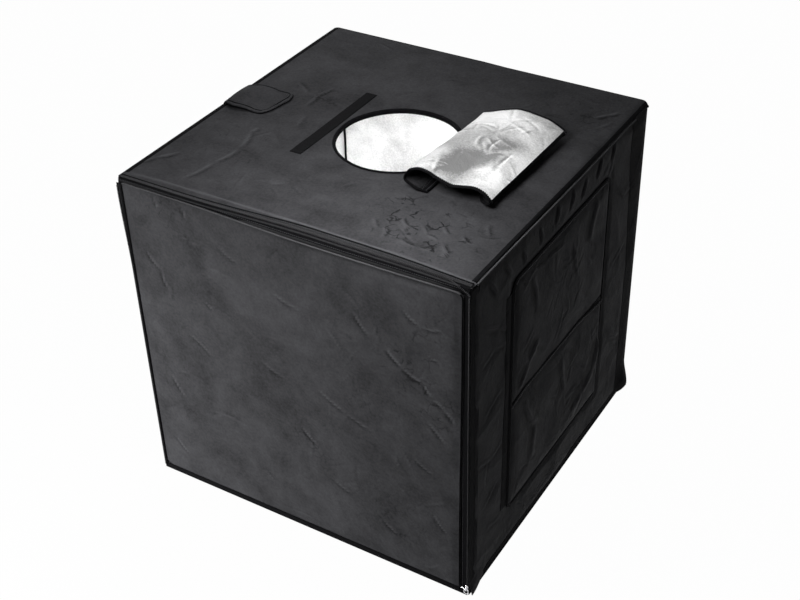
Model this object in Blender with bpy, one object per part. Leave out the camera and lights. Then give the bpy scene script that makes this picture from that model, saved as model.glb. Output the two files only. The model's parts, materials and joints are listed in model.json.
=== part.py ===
"""Light tent cube: a folding fabric studio box with a zipped front door and a shooting hole in its top.

Metres, +Z up. The origin is the centre of the base's underside, the front door faces -Y and the
pocket is on the +X wall. The cube stands open, its door is zipped and its top flap is rolled back.
"""

import math

import bmesh
import bpy
from mathutils import Vector

# Outside of the cube, over its fabric
WIDTH = 0.600
DEPTH = 0.600
HEIGHT = 0.586

# Layers of a stiff panel, and the gap between pieces that lie on each other
COVER = 0.0012
BOARD = 0.0025
LINING = 0.0008
GAP = 0.0003
BOARD_INSET = 0.0010
PANEL = COVER + GAP + BOARD + GAP + LINING

# Zips: a flat tape with half a chain as a rib along its edge
TAPE = 0.0010
CHAIN = 0.0020
CHAIN_WIDTH = 0.0030
DOOR_TAPE_WIDTH = 0.0128
WALL_TAPE_WIDTH = 0.0200

# Front door
DOOR_FABRIC = 0.0012
DOOR_LINING = 0.0008
DOOR_CORNER = 0.0150
DOOR_HINGE_HEIGHT = 0.0060
DOOR_TOP_MARGIN = 0.0110
DOOR_LINING_INSET = 0.0060
PIPING = 0.0014

# Shooting hole in the top
HOLE_RADIUS = 0.0985
HOLE_X = 0.0120
HOLE_Y = -0.0030
BINDING = 0.0008
BINDING_LIP = 0.0045

# Cover flap of the hole, as five stiff strips from its hinge to its free end
FLAP_LENGTH = 0.2322
FLAP_WIDTH = 0.2350
FLAP_THICKNESS = 0.0020
FLAP_CORNER = 0.0400
FLAP_FROM_RIM = 0.0085
FLAP_LENGTH_SHARES = (0.127, 0.118, 0.469, 0.132, 0.154)
FLAP_OPEN_DEGREES = (161.1, 61.6, -3.5, -30.3, -162.8)
FLAP_CORNER_STEPS = 6
HOOK = 0.0010
HOOK_WIDTH = 0.0180
LOOP_WIDTH = 0.0210
LOOP_LENGTH = 0.2240
HEM_WIDTH = 0.0120

# Closing tab at the top's left edge
TAB_LENGTH = 0.0710
TAB_WIDTH = 0.0610
TAB_THICKNESS = 0.0018
TAB_CORNER = 0.0160
TAB_Y = -0.0005
TAB_ROOT = 0.0100
TAB_HOOK_LENGTH = 0.0300
TAB_HOOK_WIDTH = 0.0400
TAB_FROM_EDGE = 0.0012

# Pocket on the right-hand wall, flat at the fold so that the wall can close on itself
POCKET_FRONT = 0.1220
POCKET_REAR = 0.1420
POCKET_BOTTOM = 0.0820
POCKET_TOP = 0.0660
POCKET_THICKNESS = 0.0050
POCKET_EDGE = 0.0008
POCKET_TAPER = 0.0400
POCKET_ROUND = 0.0100

# Light bars under the top, from front to rear
BAR_WIDTH = 0.0220
BAR_HEIGHT = 0.0120
BAR_WALL = 0.0015
BAR_FROM_END = 0.0500
BAR_FROM_MIDDLE = 0.1500
LED_WIDTH = 0.0120
LED_THICKNESS = 0.0014
DIFFUSER = 0.0015
CAP = 0.0025

# Zip slider and its ring pull, stored at the bottom of the right-hand run
SLIDER_WIDTH = 0.0050
SLIDER_HEIGHT = 0.0120
SLIDER_DEPTH = 0.0060
SLIDER_ABOVE_HINGE = 0.0055
SLIDER_BORE = 0.0012
PULL_WIRE = 0.0006
PULL_WIDTH = 0.0084
PULL_LENGTH = 0.0110

# Smoothness of round shapes
HOLE_STEPS = 48
BEND_STEPS = 6
WIRE_STEPS = 24
OVERRUN = 0.0100

# Places that several pieces share
LEFT = -1
RIGHT = 1
HALF_WIDTH = WIDTH / 2
HALF_DEPTH = DEPTH / 2
WALL_INSIDE = HALF_WIDTH - PANEL
DOOR_STACK = DOOR_FABRIC + GAP + DOOR_LINING
BODY_FRONT = -HALF_DEPTH + DOOR_STACK + GAP
WALL_LOW = PANEL + GAP
WALL_HIGH = HEIGHT - PANEL - GAP
WALL_MIDDLE = (WALL_LOW + WALL_HIGH) / 2
PROUD = GAP + CHAIN + GAP
FLAP_HINGE_X = HOLE_X + HOLE_RADIUS + FLAP_FROM_RIM
FLAP_RISE = GAP + HOOK + GAP + HOOK + GAP + FLAP_THICKNESS / 2
TAB_RISE = GAP + HOOK + GAP + TAB_THICKNESS / 2

FINISHES = {
    "black_fabric": ((0.045, 0.045, 0.048), 0.75, 0.0),
    "silver_lining": ((0.80, 0.81, 0.82), 0.35, 0.8),
    "panel_board": ((0.62, 0.60, 0.56), 0.80, 0.0),
    "black_binding": ((0.020, 0.020, 0.022), 0.60, 0.0),
    "hook_and_loop": ((0.012, 0.012, 0.013), 0.95, 0.0),
    "zip_tape": ((0.015, 0.015, 0.016), 0.80, 0.0),
    "zip_metal": ((0.72, 0.72, 0.74), 0.25, 1.0),
    "bar_aluminium": ((0.75, 0.76, 0.78), 0.35, 1.0),
    "bar_cap": ((0.05, 0.05, 0.05), 0.50, 0.0),
    "led_strip": ((0.95, 0.94, 0.85), 0.50, 0.0),
    "diffuser": ((0.92, 0.92, 0.90), 0.40, 0.0),
}


def clear_scene():
    """Removes whatever the open file holds."""
    for thing in list(bpy.data.objects):
        bpy.data.objects.remove(thing, do_unlink=True)


def finish_of(name, finish):
    """A material of its own for one piece, with the colour and gloss of its finish."""
    colour, roughness, metallic = FINISHES[finish]
    material = bpy.data.materials.new(name + "_" + finish)
    material.use_nodes = True
    shader = material.node_tree.nodes["Principled BSDF"]
    shader.inputs["Base Color"].default_value = (*colour, 1.0)
    shader.inputs["Roughness"].default_value = roughness
    shader.inputs["Metallic"].default_value = metallic
    return material


def world_place(thing):
    """Where a piece or hinge empty stands, summed up its chain of unturned parents."""
    place = Vector()
    while thing is not None:
        place = place + thing.location
        thing = thing.parent
    return place


def attach(thing, place, carrier):
    """Puts a piece at a place in the world and parents it to what carries it."""
    thing.parent = carrier
    thing.location = Vector(place) - world_place(carrier)
    return thing


def hinge(name, place, carrier=None):
    """An empty on a joint's axis, which carries the pieces that turn about it."""
    empty = bpy.data.objects.new(name, None)
    bpy.context.scene.collection.objects.link(empty)
    return attach(empty, place, carrier)


def piece(name, shape, place, finish, carrier):
    """A named piece made of a bmesh whose coordinates are measured from its place."""
    bmesh.ops.recalc_face_normals(shape, faces=shape.faces)
    mesh = bpy.data.meshes.new(name)
    shape.to_mesh(mesh)
    shape.free()
    thing = bpy.data.objects.new(name, mesh)
    bpy.context.scene.collection.objects.link(thing)
    if finish is not None:
        mesh.materials.append(finish_of(name, finish))
    return attach(thing, place, carrier)


def slab(name, x, y, z, finish, carrier):
    """A flat piece that fills three spans, with its origin at its middle."""
    middle = Vector([(low + high) / 2 for low, high in (x, y, z)])
    size = Vector([high - low for low, high in (x, y, z)])
    shape = bmesh.new()
    bmesh.ops.create_cube(shape, size=1.0)
    bmesh.ops.scale(shape, vec=size, verts=shape.verts)
    return piece(name, shape, middle, finish, carrier)


def extruded(outline, low, high, lay):
    """A bmesh that carries a closed outline from one height to another; lay places each point."""
    shape = bmesh.new()
    first = [shape.verts.new(lay(a, b, low)) for a, b in outline]
    last = [shape.verts.new(lay(a, b, high)) for a, b in outline]
    shape.faces.new(first)
    shape.faces.new(last)
    count = len(outline)
    for k in range(count):
        after = (k + 1) % count
        shape.faces.new((first[k], first[after], last[after], last[k]))
    return shape


def bend(middle_a, middle_b, radius, start_degrees, end_degrees, steps):
    """Points of a round stretch of an outline."""
    points = []
    for k in range(steps + 1):
        angle = math.radians(start_degrees + (end_degrees - start_degrees) * k / steps)
        points.append((middle_a + radius * math.cos(angle), middle_b + radius * math.sin(angle)))
    return points


def along_y(a, b, height):
    """Lays an outline drawn in X and Z, carried along Y."""
    return Vector((a, height, b))


def along_x(a, b, height):
    """Lays an outline drawn in Y and Z, carried along X."""
    return Vector((height, a, b))


def along_z(a, b, height):
    """Lays an outline drawn in X and Y, carried along Z."""
    return Vector((a, b, height))


def cutter(name, shape, place, carrier):
    """A guide that only cuts other pieces."""
    thing = piece(name, shape, place, None, carrier)
    thing.hide_render = True
    thing.display_type = "WIRE"
    return thing


def cut(thing, tool):
    """Takes the cutter's shape out of a piece."""
    boolean = thing.modifiers.new("cut_" + tool.name, "BOOLEAN")
    boolean.operation = "DIFFERENCE"
    boolean.solver = "EXACT"
    boolean.object = tool


def turned_ring(name, profile, middle, finish, carrier):
    """A ring whose closed profile of (radius, height) points is carried round a vertical axis."""
    shape = bmesh.new()
    rings = []
    for step in range(HOLE_STEPS):
        angle = 2 * math.pi * step / HOLE_STEPS
        ring = [shape.verts.new((r * math.cos(angle), r * math.sin(angle), h)) for r, h in profile]
        rings.append(ring)
    for step in range(HOLE_STEPS):
        here = rings[step]
        there = rings[(step + 1) % HOLE_STEPS]
        for k in range(len(profile)):
            after = (k + 1) % len(profile)
            shape.faces.new((here[k], here[after], there[after], there[k]))
    return piece(name, shape, middle, finish, carrier)


def trim(name, points, radius, finish, carrier, closed=False, sides_resolution=1):
    """A round cord along a list of points, with filled ends where it is open."""
    place = Vector(points[0])
    curve = bpy.data.curves.new(name, "CURVE")
    curve.dimensions = "3D"
    curve.bevel_depth = radius
    curve.bevel_resolution = sides_resolution
    curve.use_fill_caps = not closed
    line = curve.splines.new("POLY")
    line.points.add(len(points) - 1)
    for slot, point in zip(line.points, points):
        slot.co = (*(Vector(point) - place), 1.0)
    line.use_cyclic_u = closed
    curve.materials.append(finish_of(name, finish))
    thing = bpy.data.objects.new(name, curve)
    bpy.context.scene.collection.objects.link(thing)
    return attach(thing, place, carrier)


def side_span(side, outer, inner):
    """The x span between two distances from the middle, on one side."""
    return tuple(sorted((side * outer, side * inner)))


def base_panel():
    """The floor of the tent: outer fabric, board and silver lining."""
    x = (-HALF_WIDTH, HALF_WIDTH)
    y = (BODY_FRONT, HALF_DEPTH)
    inner_x = (x[0] + BOARD_INSET, x[1] - BOARD_INSET)
    inner_y = (y[0] + BOARD_INSET, y[1] - BOARD_INSET)
    board_low = COVER + GAP
    lining_low = board_low + BOARD + GAP
    slab("base_cover", x, y, (0, COVER), "black_fabric", None)
    slab("base_board", inner_x, inner_y, (board_low, board_low + BOARD), "panel_board", None)
    slab("base_lining", x, y, (lining_low, PANEL), "silver_lining", None)


def rear_wall():
    """The rear wall is fabric alone, sewn between the side walls, and it gathers when the tent folds."""
    x = (-WALL_INSIDE + GAP, WALL_INSIDE - GAP)
    z = (WALL_LOW, WALL_HIGH)
    lining_rear = HALF_DEPTH - COVER - GAP
    slab("rear_cover", x, (HALF_DEPTH - COVER, HALF_DEPTH), z, "black_fabric", None)
    slab("rear_lining", x, (lining_rear - LINING, lining_rear), z, "silver_lining", None)


def wall_half(side, side_name, level, z, carrier):
    """Half of a side wall: outer fabric, board and lining, with its length of the front zip."""
    name = side_name + "_" + level
    y = (BODY_FRONT, HALF_DEPTH)
    inner_y = (y[0] + BOARD_INSET, y[1] - BOARD_INSET)
    inner_z = (z[0] + BOARD_INSET, z[1] - BOARD_INSET)
    board_out = HALF_WIDTH - COVER - GAP
    lining_out = board_out - BOARD - GAP
    cover_x = side_span(side, HALF_WIDTH, HALF_WIDTH - COVER)
    board_x = side_span(side, board_out, board_out - BOARD)
    lining_x = side_span(side, lining_out, WALL_INSIDE)
    slab(name + "_cover", cover_x, y, z, "black_fabric", carrier)
    slab(name + "_board", board_x, inner_y, inner_z, "panel_board", carrier)
    slab(name + "_lining", lining_x, y, z, "silver_lining", carrier)
    wall_zip(side, name + "_zip", z, carrier)


def wall_zip(side, name, z, carrier):
    """The body's half of the zip on a side wall: a tape with the chain as a rib on its front edge."""
    near = HALF_WIDTH + GAP
    front = BODY_FRONT
    outline = [
        (side * near, front),
        (side * (near + CHAIN), front),
        (side * (near + CHAIN), front + CHAIN_WIDTH),
        (side * (near + TAPE), front + CHAIN_WIDTH),
        (side * (near + TAPE), front + WALL_TAPE_WIDTH),
        (side * near, front + WALL_TAPE_WIDTH),
    ]
    half = (z[1] - z[0]) / 2
    shape = extruded(outline, -half, half, along_z)
    piece(name, shape, (0, 0, (z[0] + z[1]) / 2), "zip_tape", carrier)


def pocket_half(level, fold, far, carrier):
    """Half of the wall's pocket: full in its middle, thin at the fold and at its sewn edge."""
    way = math.copysign(1, far - fold)
    outer = HALF_WIDTH + GAP
    outline = [
        (outer, fold),
        (outer + POCKET_EDGE, fold),
        (outer + POCKET_THICKNESS, fold + way * POCKET_TAPER),
        (outer + POCKET_THICKNESS, far - way * POCKET_ROUND),
        (outer + POCKET_EDGE, far),
        (outer, far),
    ]
    front = BODY_FRONT + POCKET_FRONT
    rear = HALF_DEPTH - POCKET_REAR
    middle_y = (front + rear) / 2
    half = (rear - front) / 2
    shape = extruded([(x, z - fold) for x, z in outline], -half, half, along_y)
    piece("pocket_" + level, shape, (0, middle_y, fold), "black_fabric", carrier)


def side_wall(side, side_name):
    """A side wall in two halves that fold inwards: about the base, then about the middle, then about the top."""
    lower = hinge(side_name + "_base_hinge", (side * WALL_INSIDE, 0, WALL_LOW))
    fold_place = (side * (HALF_WIDTH + PROUD), 0, WALL_MIDDLE)
    upper = hinge(side_name + "_fold_hinge", fold_place, lower)
    wall_half(side, side_name, "lower", (WALL_LOW, WALL_MIDDLE - GAP / 2), lower)
    wall_half(side, side_name, "upper", (WALL_MIDDLE + GAP / 2, WALL_HIGH), upper)
    if side == RIGHT:
        pocket_half("lower", WALL_MIDDLE - GAP / 2, POCKET_BOTTOM, lower)
        pocket_half("upper", WALL_MIDDLE + GAP / 2, HEIGHT - POCKET_TOP, upper)
    return upper


def top_panel(top):
    """The top: outer fabric, board and lining, all with the shooting hole, and what is sewn on it."""
    x = (-HALF_WIDTH, HALF_WIDTH)
    y = (BODY_FRONT, HALF_DEPTH)
    inner_x = (x[0] + BOARD_INSET, x[1] - BOARD_INSET)
    inner_y = (y[0] + BOARD_INSET, y[1] - BOARD_INSET)
    under = HEIGHT - PANEL
    board_low = under + LINING + GAP
    cover = slab("top_cover", x, y, (HEIGHT - COVER, HEIGHT), "black_fabric", top)
    board = slab("top_board", inner_x, inner_y, (board_low, board_low + BOARD), "panel_board", top)
    lining = slab("top_lining", x, y, (under, under + LINING), "silver_lining", top)
    outline = bend(0, 0, HOLE_RADIUS, 0, 360 - 360 / HOLE_STEPS, HOLE_STEPS - 1)
    reach = PANEL + OVERRUN
    tool_shape = extruded(outline, -reach, reach, along_z)
    tool = cutter("shooting_hole_cutter", tool_shape, (HOLE_X, HOLE_Y, HEIGHT - PANEL / 2), top)
    for layer in (cover, board, lining):
        cut(layer, tool)
    hole_binding(top)
    loop_strip(top)
    top_zip(top)
    top_piping(top)


def hole_binding(top):
    """The binding that clasps the hole's edge: a channel section carried round the hole."""
    inner = HOLE_RADIUS - GAP - BINDING
    wall = HOLE_RADIUS - GAP
    lip = HOLE_RADIUS + BINDING_LIP
    low = -PANEL / 2 - GAP
    high = PANEL / 2 + GAP
    profile = [
        (inner, low - BINDING),
        (lip, low - BINDING),
        (lip, low),
        (wall, low),
        (wall, high),
        (lip, high),
        (lip, high + BINDING),
        (inner, high + BINDING),
    ]
    middle = (HOLE_X, HOLE_Y, HEIGHT - PANEL / 2)
    turned_ring("hole_binding", profile, middle, "black_binding", top)


def loop_strip(top):
    """The strip that the flap closes onto: its far edge lines up with the closed flap's end."""
    closed_end = FLAP_HINGE_X - FLAP_LENGTH
    x = (closed_end - (LOOP_WIDTH - HOOK_WIDTH), closed_end + HOOK_WIDTH)
    y = (HOLE_Y - LOOP_LENGTH / 2, HOLE_Y + LOOP_LENGTH / 2)
    slab("loop_strip", x, y, (HEIGHT + GAP, HEIGHT + GAP + HOOK), "hook_and_loop", top)


def top_zip(top):
    """The body's half of the zip on the top's front margin, with the chain as a rib on its front edge."""
    low = HEIGHT + GAP
    front = -HALF_DEPTH + DOOR_TAPE_WIDTH + GAP
    rear = front + DOOR_TAPE_WIDTH
    outline = [
        (front, low),
        (rear, low),
        (rear, low + TAPE),
        (front + CHAIN_WIDTH, low + TAPE),
        (front + CHAIN_WIDTH, low + CHAIN),
        (front, low + CHAIN),
    ]
    half = HALF_WIDTH
    piece("top_zip", extruded(outline, -half, half, along_x), (0, 0, 0), "zip_tape", top)


def top_piping(top):
    """Piping on the top's seam: along the left-hand side, the rear and the right-hand side."""
    reach = HALF_WIDTH + GAP + PIPING
    rear = HALF_DEPTH + GAP + PIPING
    height = HEIGHT - PIPING
    points = [
        (-reach, BODY_FRONT, height),
        (-reach, rear, height),
        (reach, rear, height),
        (reach, BODY_FRONT, height),
    ]
    trim("top_piping", points, PIPING, "black_binding", top)


def light_bar(side, side_name, top):
    """A light bar under the top: an aluminium channel with an LED strip, a diffuser and two end caps."""
    middle = side * BAR_FROM_MIDDLE
    high = HEIGHT - PANEL - GAP
    low = high - BAR_HEIGHT
    half = BAR_WIDTH / 2
    inner = half - BAR_WALL
    y = (-HALF_DEPTH + BAR_FROM_END, HALF_DEPTH - BAR_FROM_END)
    outline = [
        (-half, low),
        (-inner, low),
        (-inner, high - BAR_WALL),
        (inner, high - BAR_WALL),
        (inner, low),
        (half, low),
        (half, high),
        (-half, high),
    ]
    name = "light_" + side_name
    shape = extruded(outline, y[0], y[1], along_y)
    piece(name + "_channel", shape, (middle, 0, 0), "bar_aluminium", top)
    led_high = high - BAR_WALL - GAP
    led_x = (middle - LED_WIDTH / 2, middle + LED_WIDTH / 2)
    slab(name + "_leds", led_x, y, (led_high - LED_THICKNESS, led_high), "led_strip", top)
    mouth_x = (middle - inner + GAP, middle + inner - GAP)
    slab(name + "_diffuser", mouth_x, y, (low, low + DIFFUSER), "diffuser", top)
    cap_x = (middle - half, middle + half)
    front = (y[0] - GAP - CAP, y[0] - GAP)
    rear = (y[1] + GAP, y[1] + GAP + CAP)
    slab(name + "_front_cap", cap_x, front, (low, high), "bar_cap", top)
    slab(name + "_rear_cap", cap_x, rear, (low, high), "bar_cap", top)


def flap_starts():
    """Where each strip of the open flap starts, as (x, z), with the free end last."""
    x = FLAP_HINGE_X
    z = HEIGHT + FLAP_RISE
    places = [(x, z)]
    for share, degrees in zip(FLAP_LENGTH_SHARES, FLAP_OPEN_DEGREES):
        x = x + share * FLAP_LENGTH * math.cos(math.radians(degrees))
        z = z + share * FLAP_LENGTH * math.sin(math.radians(degrees))
        places.append((x, z))
    return places


def flap_half_width(reach):
    """Half the flap's width at a distance from its hinge, with the free corners rounded."""
    into = reach - (FLAP_LENGTH - FLAP_CORNER)
    if into <= 0:
        return FLAP_WIDTH / 2
    return FLAP_WIDTH / 2 - FLAP_CORNER + math.sqrt(max(FLAP_CORNER**2 - into**2, 0))


def bend_setback(degrees):
    """How far two strips stand back from a hinge in their mid-plane, so that neither reaches the other."""
    return FLAP_THICKNESS / 2 * math.tan(math.radians(abs(degrees)) / 2) + GAP / 2


def flap_strip_outline(start, near, far):
    """A strip's outline as (distance from its hinge, y), for a strip that starts at a reach along the flap."""
    reaches = [near]
    corner = FLAP_LENGTH - FLAP_CORNER - start
    if near < corner < far:
        reaches.append(corner)
    first = max(near, corner)
    if far > corner:
        steps = FLAP_CORNER_STEPS
        reaches += [first + (far - first) * math.sin(math.pi / 2 * k / steps) for k in range(1, steps)]
    reaches.append(far)
    upper = [(reach, flap_half_width(start + reach)) for reach in reaches]
    lower = [(reach, -half) for reach, half in reversed(upper)]
    return upper + lower


def flap(top):
    """The hole's cover flap: five strips in a chain, rolled back over its hinge, and the hem it is sewn to."""
    starts = flap_starts()
    carrier = top
    start = 0
    setback = bend_setback(180 - FLAP_OPEN_DEGREES[0])
    count = len(FLAP_LENGTH_SHARES)
    for k in range(count):
        length = FLAP_LENGTH_SHARES[k] * FLAP_LENGTH
        degrees = FLAP_OPEN_DEGREES[k]
        place = (starts[k][0], HOLE_Y, starts[k][1])
        carrier = hinge("flap_hinge_" + str(k + 1), place, carrier)
        near = setback
        if k + 1 < count:
            setback = bend_setback(FLAP_OPEN_DEGREES[k + 1] - degrees)
            far = length - setback
        else:
            far = length
        outline = flap_strip_outline(start, near, far)
        half = FLAP_THICKNESS / 2
        shape = extruded(outline, -half, half, along_z)
        strip = piece("flap_" + str(k + 1), shape, place, "black_fabric", carrier)
        strip.rotation_euler = (0, -math.radians(degrees), 0)
        start = start + length
    hook_strip(place, length, degrees, carrier)
    flap_hem(top)


def hook_strip(place, length, degrees, carrier):
    """The hook strip sewn on the lining side of the flap's last strip."""
    near = length - HOOK_WIDTH
    far = length - GAP
    half_near = flap_half_width(FLAP_LENGTH - HOOK_WIDTH) - GAP
    half_far = flap_half_width(FLAP_LENGTH - GAP) - GAP
    outline = [(near, half_near), (far, half_far), (far, -half_far), (near, -half_near)]
    low = FLAP_THICKNESS / 2 + GAP
    shape = extruded(outline, low, low + HOOK, along_z)
    strip = piece("flap_hook_strip", shape, place, "hook_and_loop", carrier)
    strip.rotation_euler = (0, -math.radians(degrees), 0)


def flap_hem(top):
    """The doubled hem beside the flap's hinge line, sewn on the top."""
    near = FLAP_HINGE_X + bend_setback(180 - FLAP_OPEN_DEGREES[0])
    x = (near, near + HEM_WIDTH)
    y = (HOLE_Y - FLAP_WIDTH / 2, HOLE_Y + FLAP_WIDTH / 2)
    z = (HEIGHT + GAP, HEIGHT + FLAP_RISE + FLAP_THICKNESS / 2)
    slab("flap_hem", x, y, z, "black_binding", top)


def closing_tab(top):
    """The tab at the left-hand edge: it lies on the top on a hook patch, beside the root it is sewn to."""
    axis_x = -HALF_WIDTH + TAB_FROM_EDGE
    place = (axis_x, TAB_Y, HEIGHT + TAB_RISE)
    carrier = hinge("tab_hinge", place, top)
    far = TAB_LENGTH
    half = TAB_WIDTH / 2
    corner = TAB_CORNER
    outline = [(0, -half)]
    outline += bend(far - corner, -half + corner, corner, -90, 0, BEND_STEPS)
    outline += bend(far - corner, half - corner, corner, 0, 90, BEND_STEPS)
    outline += [(0, half)]
    thick = TAB_THICKNESS / 2
    piece("closing_tab", extruded(outline, -thick, thick, along_z), place, "black_fabric", carrier)
    hook_far = axis_x + far - corner
    hook_x = (hook_far - TAB_HOOK_LENGTH, hook_far)
    hook_y = (TAB_Y - TAB_HOOK_WIDTH / 2, TAB_Y + TAB_HOOK_WIDTH / 2)
    patch_z = (HEIGHT + GAP, HEIGHT + GAP + HOOK)
    slab("tab_hook_patch", hook_x, hook_y, patch_z, "hook_and_loop", carrier)
    root_x = (axis_x, axis_x + TAB_ROOT)
    root_y = (TAB_Y - half, TAB_Y + half)
    slab("tab_root", root_x, root_y, patch_z, "black_binding", top)


def door_panel_outline(inset, top_height):
    """The door's outline in X and Z, with rounded top corners."""
    half = HALF_WIDTH - DOOR_TAPE_WIDTH - GAP - GAP - inset
    low = DOOR_HINGE_HEIGHT + inset
    high = top_height - inset
    corner = DOOR_CORNER
    outline = [(-half, low), (half, low)]
    outline += bend(half - corner, high - corner, corner, 0, 90, BEND_STEPS)
    outline += bend(-half + corner, high - corner, corner, 90, 180, BEND_STEPS)
    return outline


def front_door():
    """The zipped front: fabric with a silver lining, hinged at the base, and its halves of the zip."""
    front = -HALF_DEPTH
    rear = front + DOOR_STACK
    carrier = hinge("door_hinge", (0, rear, DOOR_HINGE_HEIGHT))
    seam = HEIGHT - DOOR_TOP_MARGIN
    fabric = extruded(door_panel_outline(0, seam), front, front + DOOR_FABRIC, along_y)
    piece("door_panel", fabric, (0, 0, 0), "black_fabric", carrier)
    lining_outline = door_panel_outline(DOOR_LINING_INSET, seam)
    lining = extruded(lining_outline, rear - DOOR_LINING, rear, along_y)
    piece("door_lining", lining, (0, 0, 0), "silver_lining", carrier)
    door_side_zip(LEFT, "door_zip_left", carrier)
    door_side_zip(RIGHT, "door_zip_right", carrier)
    door_top_zip(seam, carrier)
    door_piping(seam, carrier)
    slider(carrier)


def door_side_zip(side, name, carrier):
    """The door's half of a side zip: a tape on the front, with the chain as a rib on its outer edge."""
    outer = HALF_WIDTH - GAP
    inner = outer - DOOR_TAPE_WIDTH
    front = -HALF_DEPTH
    outline = [
        (side * inner, front + DOOR_STACK - TAPE),
        (side * (outer - CHAIN_WIDTH), front + DOOR_STACK - TAPE),
        (side * (outer - CHAIN_WIDTH), front + DOOR_STACK - CHAIN),
        (side * outer, front + DOOR_STACK - CHAIN),
        (side * outer, front + DOOR_STACK),
        (side * inner, front + DOOR_STACK),
    ]
    low = DOOR_HINGE_HEIGHT
    high = HEIGHT - DOOR_TOP_MARGIN - GAP
    half = (high - low) / 2
    shape = extruded(outline, -half, half, along_z)
    piece(name, shape, (0, 0, (low + high) / 2), "zip_tape", carrier)


def door_top_zip(seam, carrier):
    """The door's top edge: a strip that turns over the front edge and carries its half of the top zip."""
    front = -HALF_DEPTH
    low = HEIGHT + GAP
    far = front + DOOR_TAPE_WIDTH
    outline = [
        (front, seam + GAP),
        (front + DOOR_STACK, seam + GAP),
        (front + DOOR_STACK, low),
        (far, low),
        (far, low + CHAIN),
        (far - CHAIN_WIDTH, low + CHAIN),
        (far - CHAIN_WIDTH, low + TAPE),
        (front, low + TAPE),
    ]
    half = HALF_WIDTH - GAP
    piece("door_zip_top", extruded(outline, -half, half, along_x), (0, 0, 0), "zip_tape", carrier)


def door_piping(seam, carrier):
    """Piping in front of the door's seam, up one side, across and down the other."""
    front = -HALF_DEPTH - GAP - PIPING
    half = HALF_WIDTH - DOOR_TAPE_WIDTH - GAP - GAP - PIPING
    high = seam - PIPING
    low = DOOR_HINGE_HEIGHT + PIPING
    corner = DOOR_CORNER - PIPING
    line = [(half, low)]
    line += bend(half - corner, high - corner, corner, 0, 90, BEND_STEPS)
    line += bend(-half + corner, high - corner, corner, 90, 180, BEND_STEPS)
    line += [(-half, low)]
    points = [(a, front, b) for a, b in line]
    trim("door_piping", points, PIPING, "black_binding", carrier)


def slider(door):
    """The zip's slider on the right-hand chain, with a bore that carries its ring pull."""
    middle_x = HALF_WIDTH - GAP - CHAIN_WIDTH / 2
    rear = -HALF_DEPTH - GAP
    low = DOOR_HINGE_HEIGHT + SLIDER_ABOVE_HINGE
    place = (middle_x, rear, low)
    carrier = hinge("slider_runner", place, door)
    half_width = SLIDER_WIDTH / 2
    nose = SLIDER_DEPTH / 2
    outline = [(0, 0), (0, SLIDER_HEIGHT)]
    outline += bend(-SLIDER_DEPTH + nose, SLIDER_HEIGHT - nose, nose, 90, 180, BEND_STEPS)
    outline += bend(-SLIDER_DEPTH + nose, nose, nose, 180, 270, BEND_STEPS)
    block_shape = extruded(outline, -half_width, half_width, along_x)
    block = piece("zip_slider", block_shape, place, "zip_metal", carrier)
    bore_place = (middle_x, rear - SLIDER_DEPTH + nose, low + SLIDER_HEIGHT / 2)
    reach = half_width + OVERRUN
    circle = bend(0, 0, SLIDER_BORE, 0, 360 - 360 / WIRE_STEPS, WIRE_STEPS - 1)
    bore = cutter("slider_bore_cutter", extruded(circle, -reach, reach, along_x), bore_place, carrier)
    cut(block, bore)
    ring_pull(bore_place, carrier)


def ring_pull(place, slider_carrier):
    """The wire loop that hangs from the slider's bore."""
    carrier = hinge("pull_hinge", place, slider_carrier)
    radius = PULL_WIDTH / 2 - PULL_WIRE
    corner = radius / 2
    low = -PULL_LENGTH + PULL_WIRE + PULL_WIRE
    line = bend(radius - corner, -corner, corner, 90, 0, BEND_STEPS)
    line += bend(0, low + radius, radius, 0, -180, BEND_STEPS + BEND_STEPS)
    line += bend(-radius + corner, -corner, corner, 180, 90, BEND_STEPS)
    points = [Vector(place) + Vector((a, 0, b)) for a, b in line]
    trim("ring_pull", points, PULL_WIRE, "zip_metal", carrier, closed=True)


def build():
    """Makes the whole light tent."""
    clear_scene()
    base_panel()
    rear_wall()
    left_upper = side_wall(LEFT, "left")
    side_wall(RIGHT, "right")
    top = hinge("top_hinge", (-WALL_INSIDE, 0, WALL_HIGH), left_upper)
    top_panel(top)
    light_bar(LEFT, "left", top)
    light_bar(RIGHT, "right", top)
    flap(top)
    closing_tab(top)
    front_door()
    bpy.context.view_layer.update()


build()
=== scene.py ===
"""Looks of a folding light tent cube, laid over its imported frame.

Each cloth, lining, tape, zip and trim is a surface worked out with numpy, in metres, in the frame's own
axes: +Z up, -Y towards the door, +X towards the wall with the pocket. A flat face is a grid of u and v
with a height h over it. The heights hold the slack of the cloth and its creases, at their real places.
"""

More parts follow.
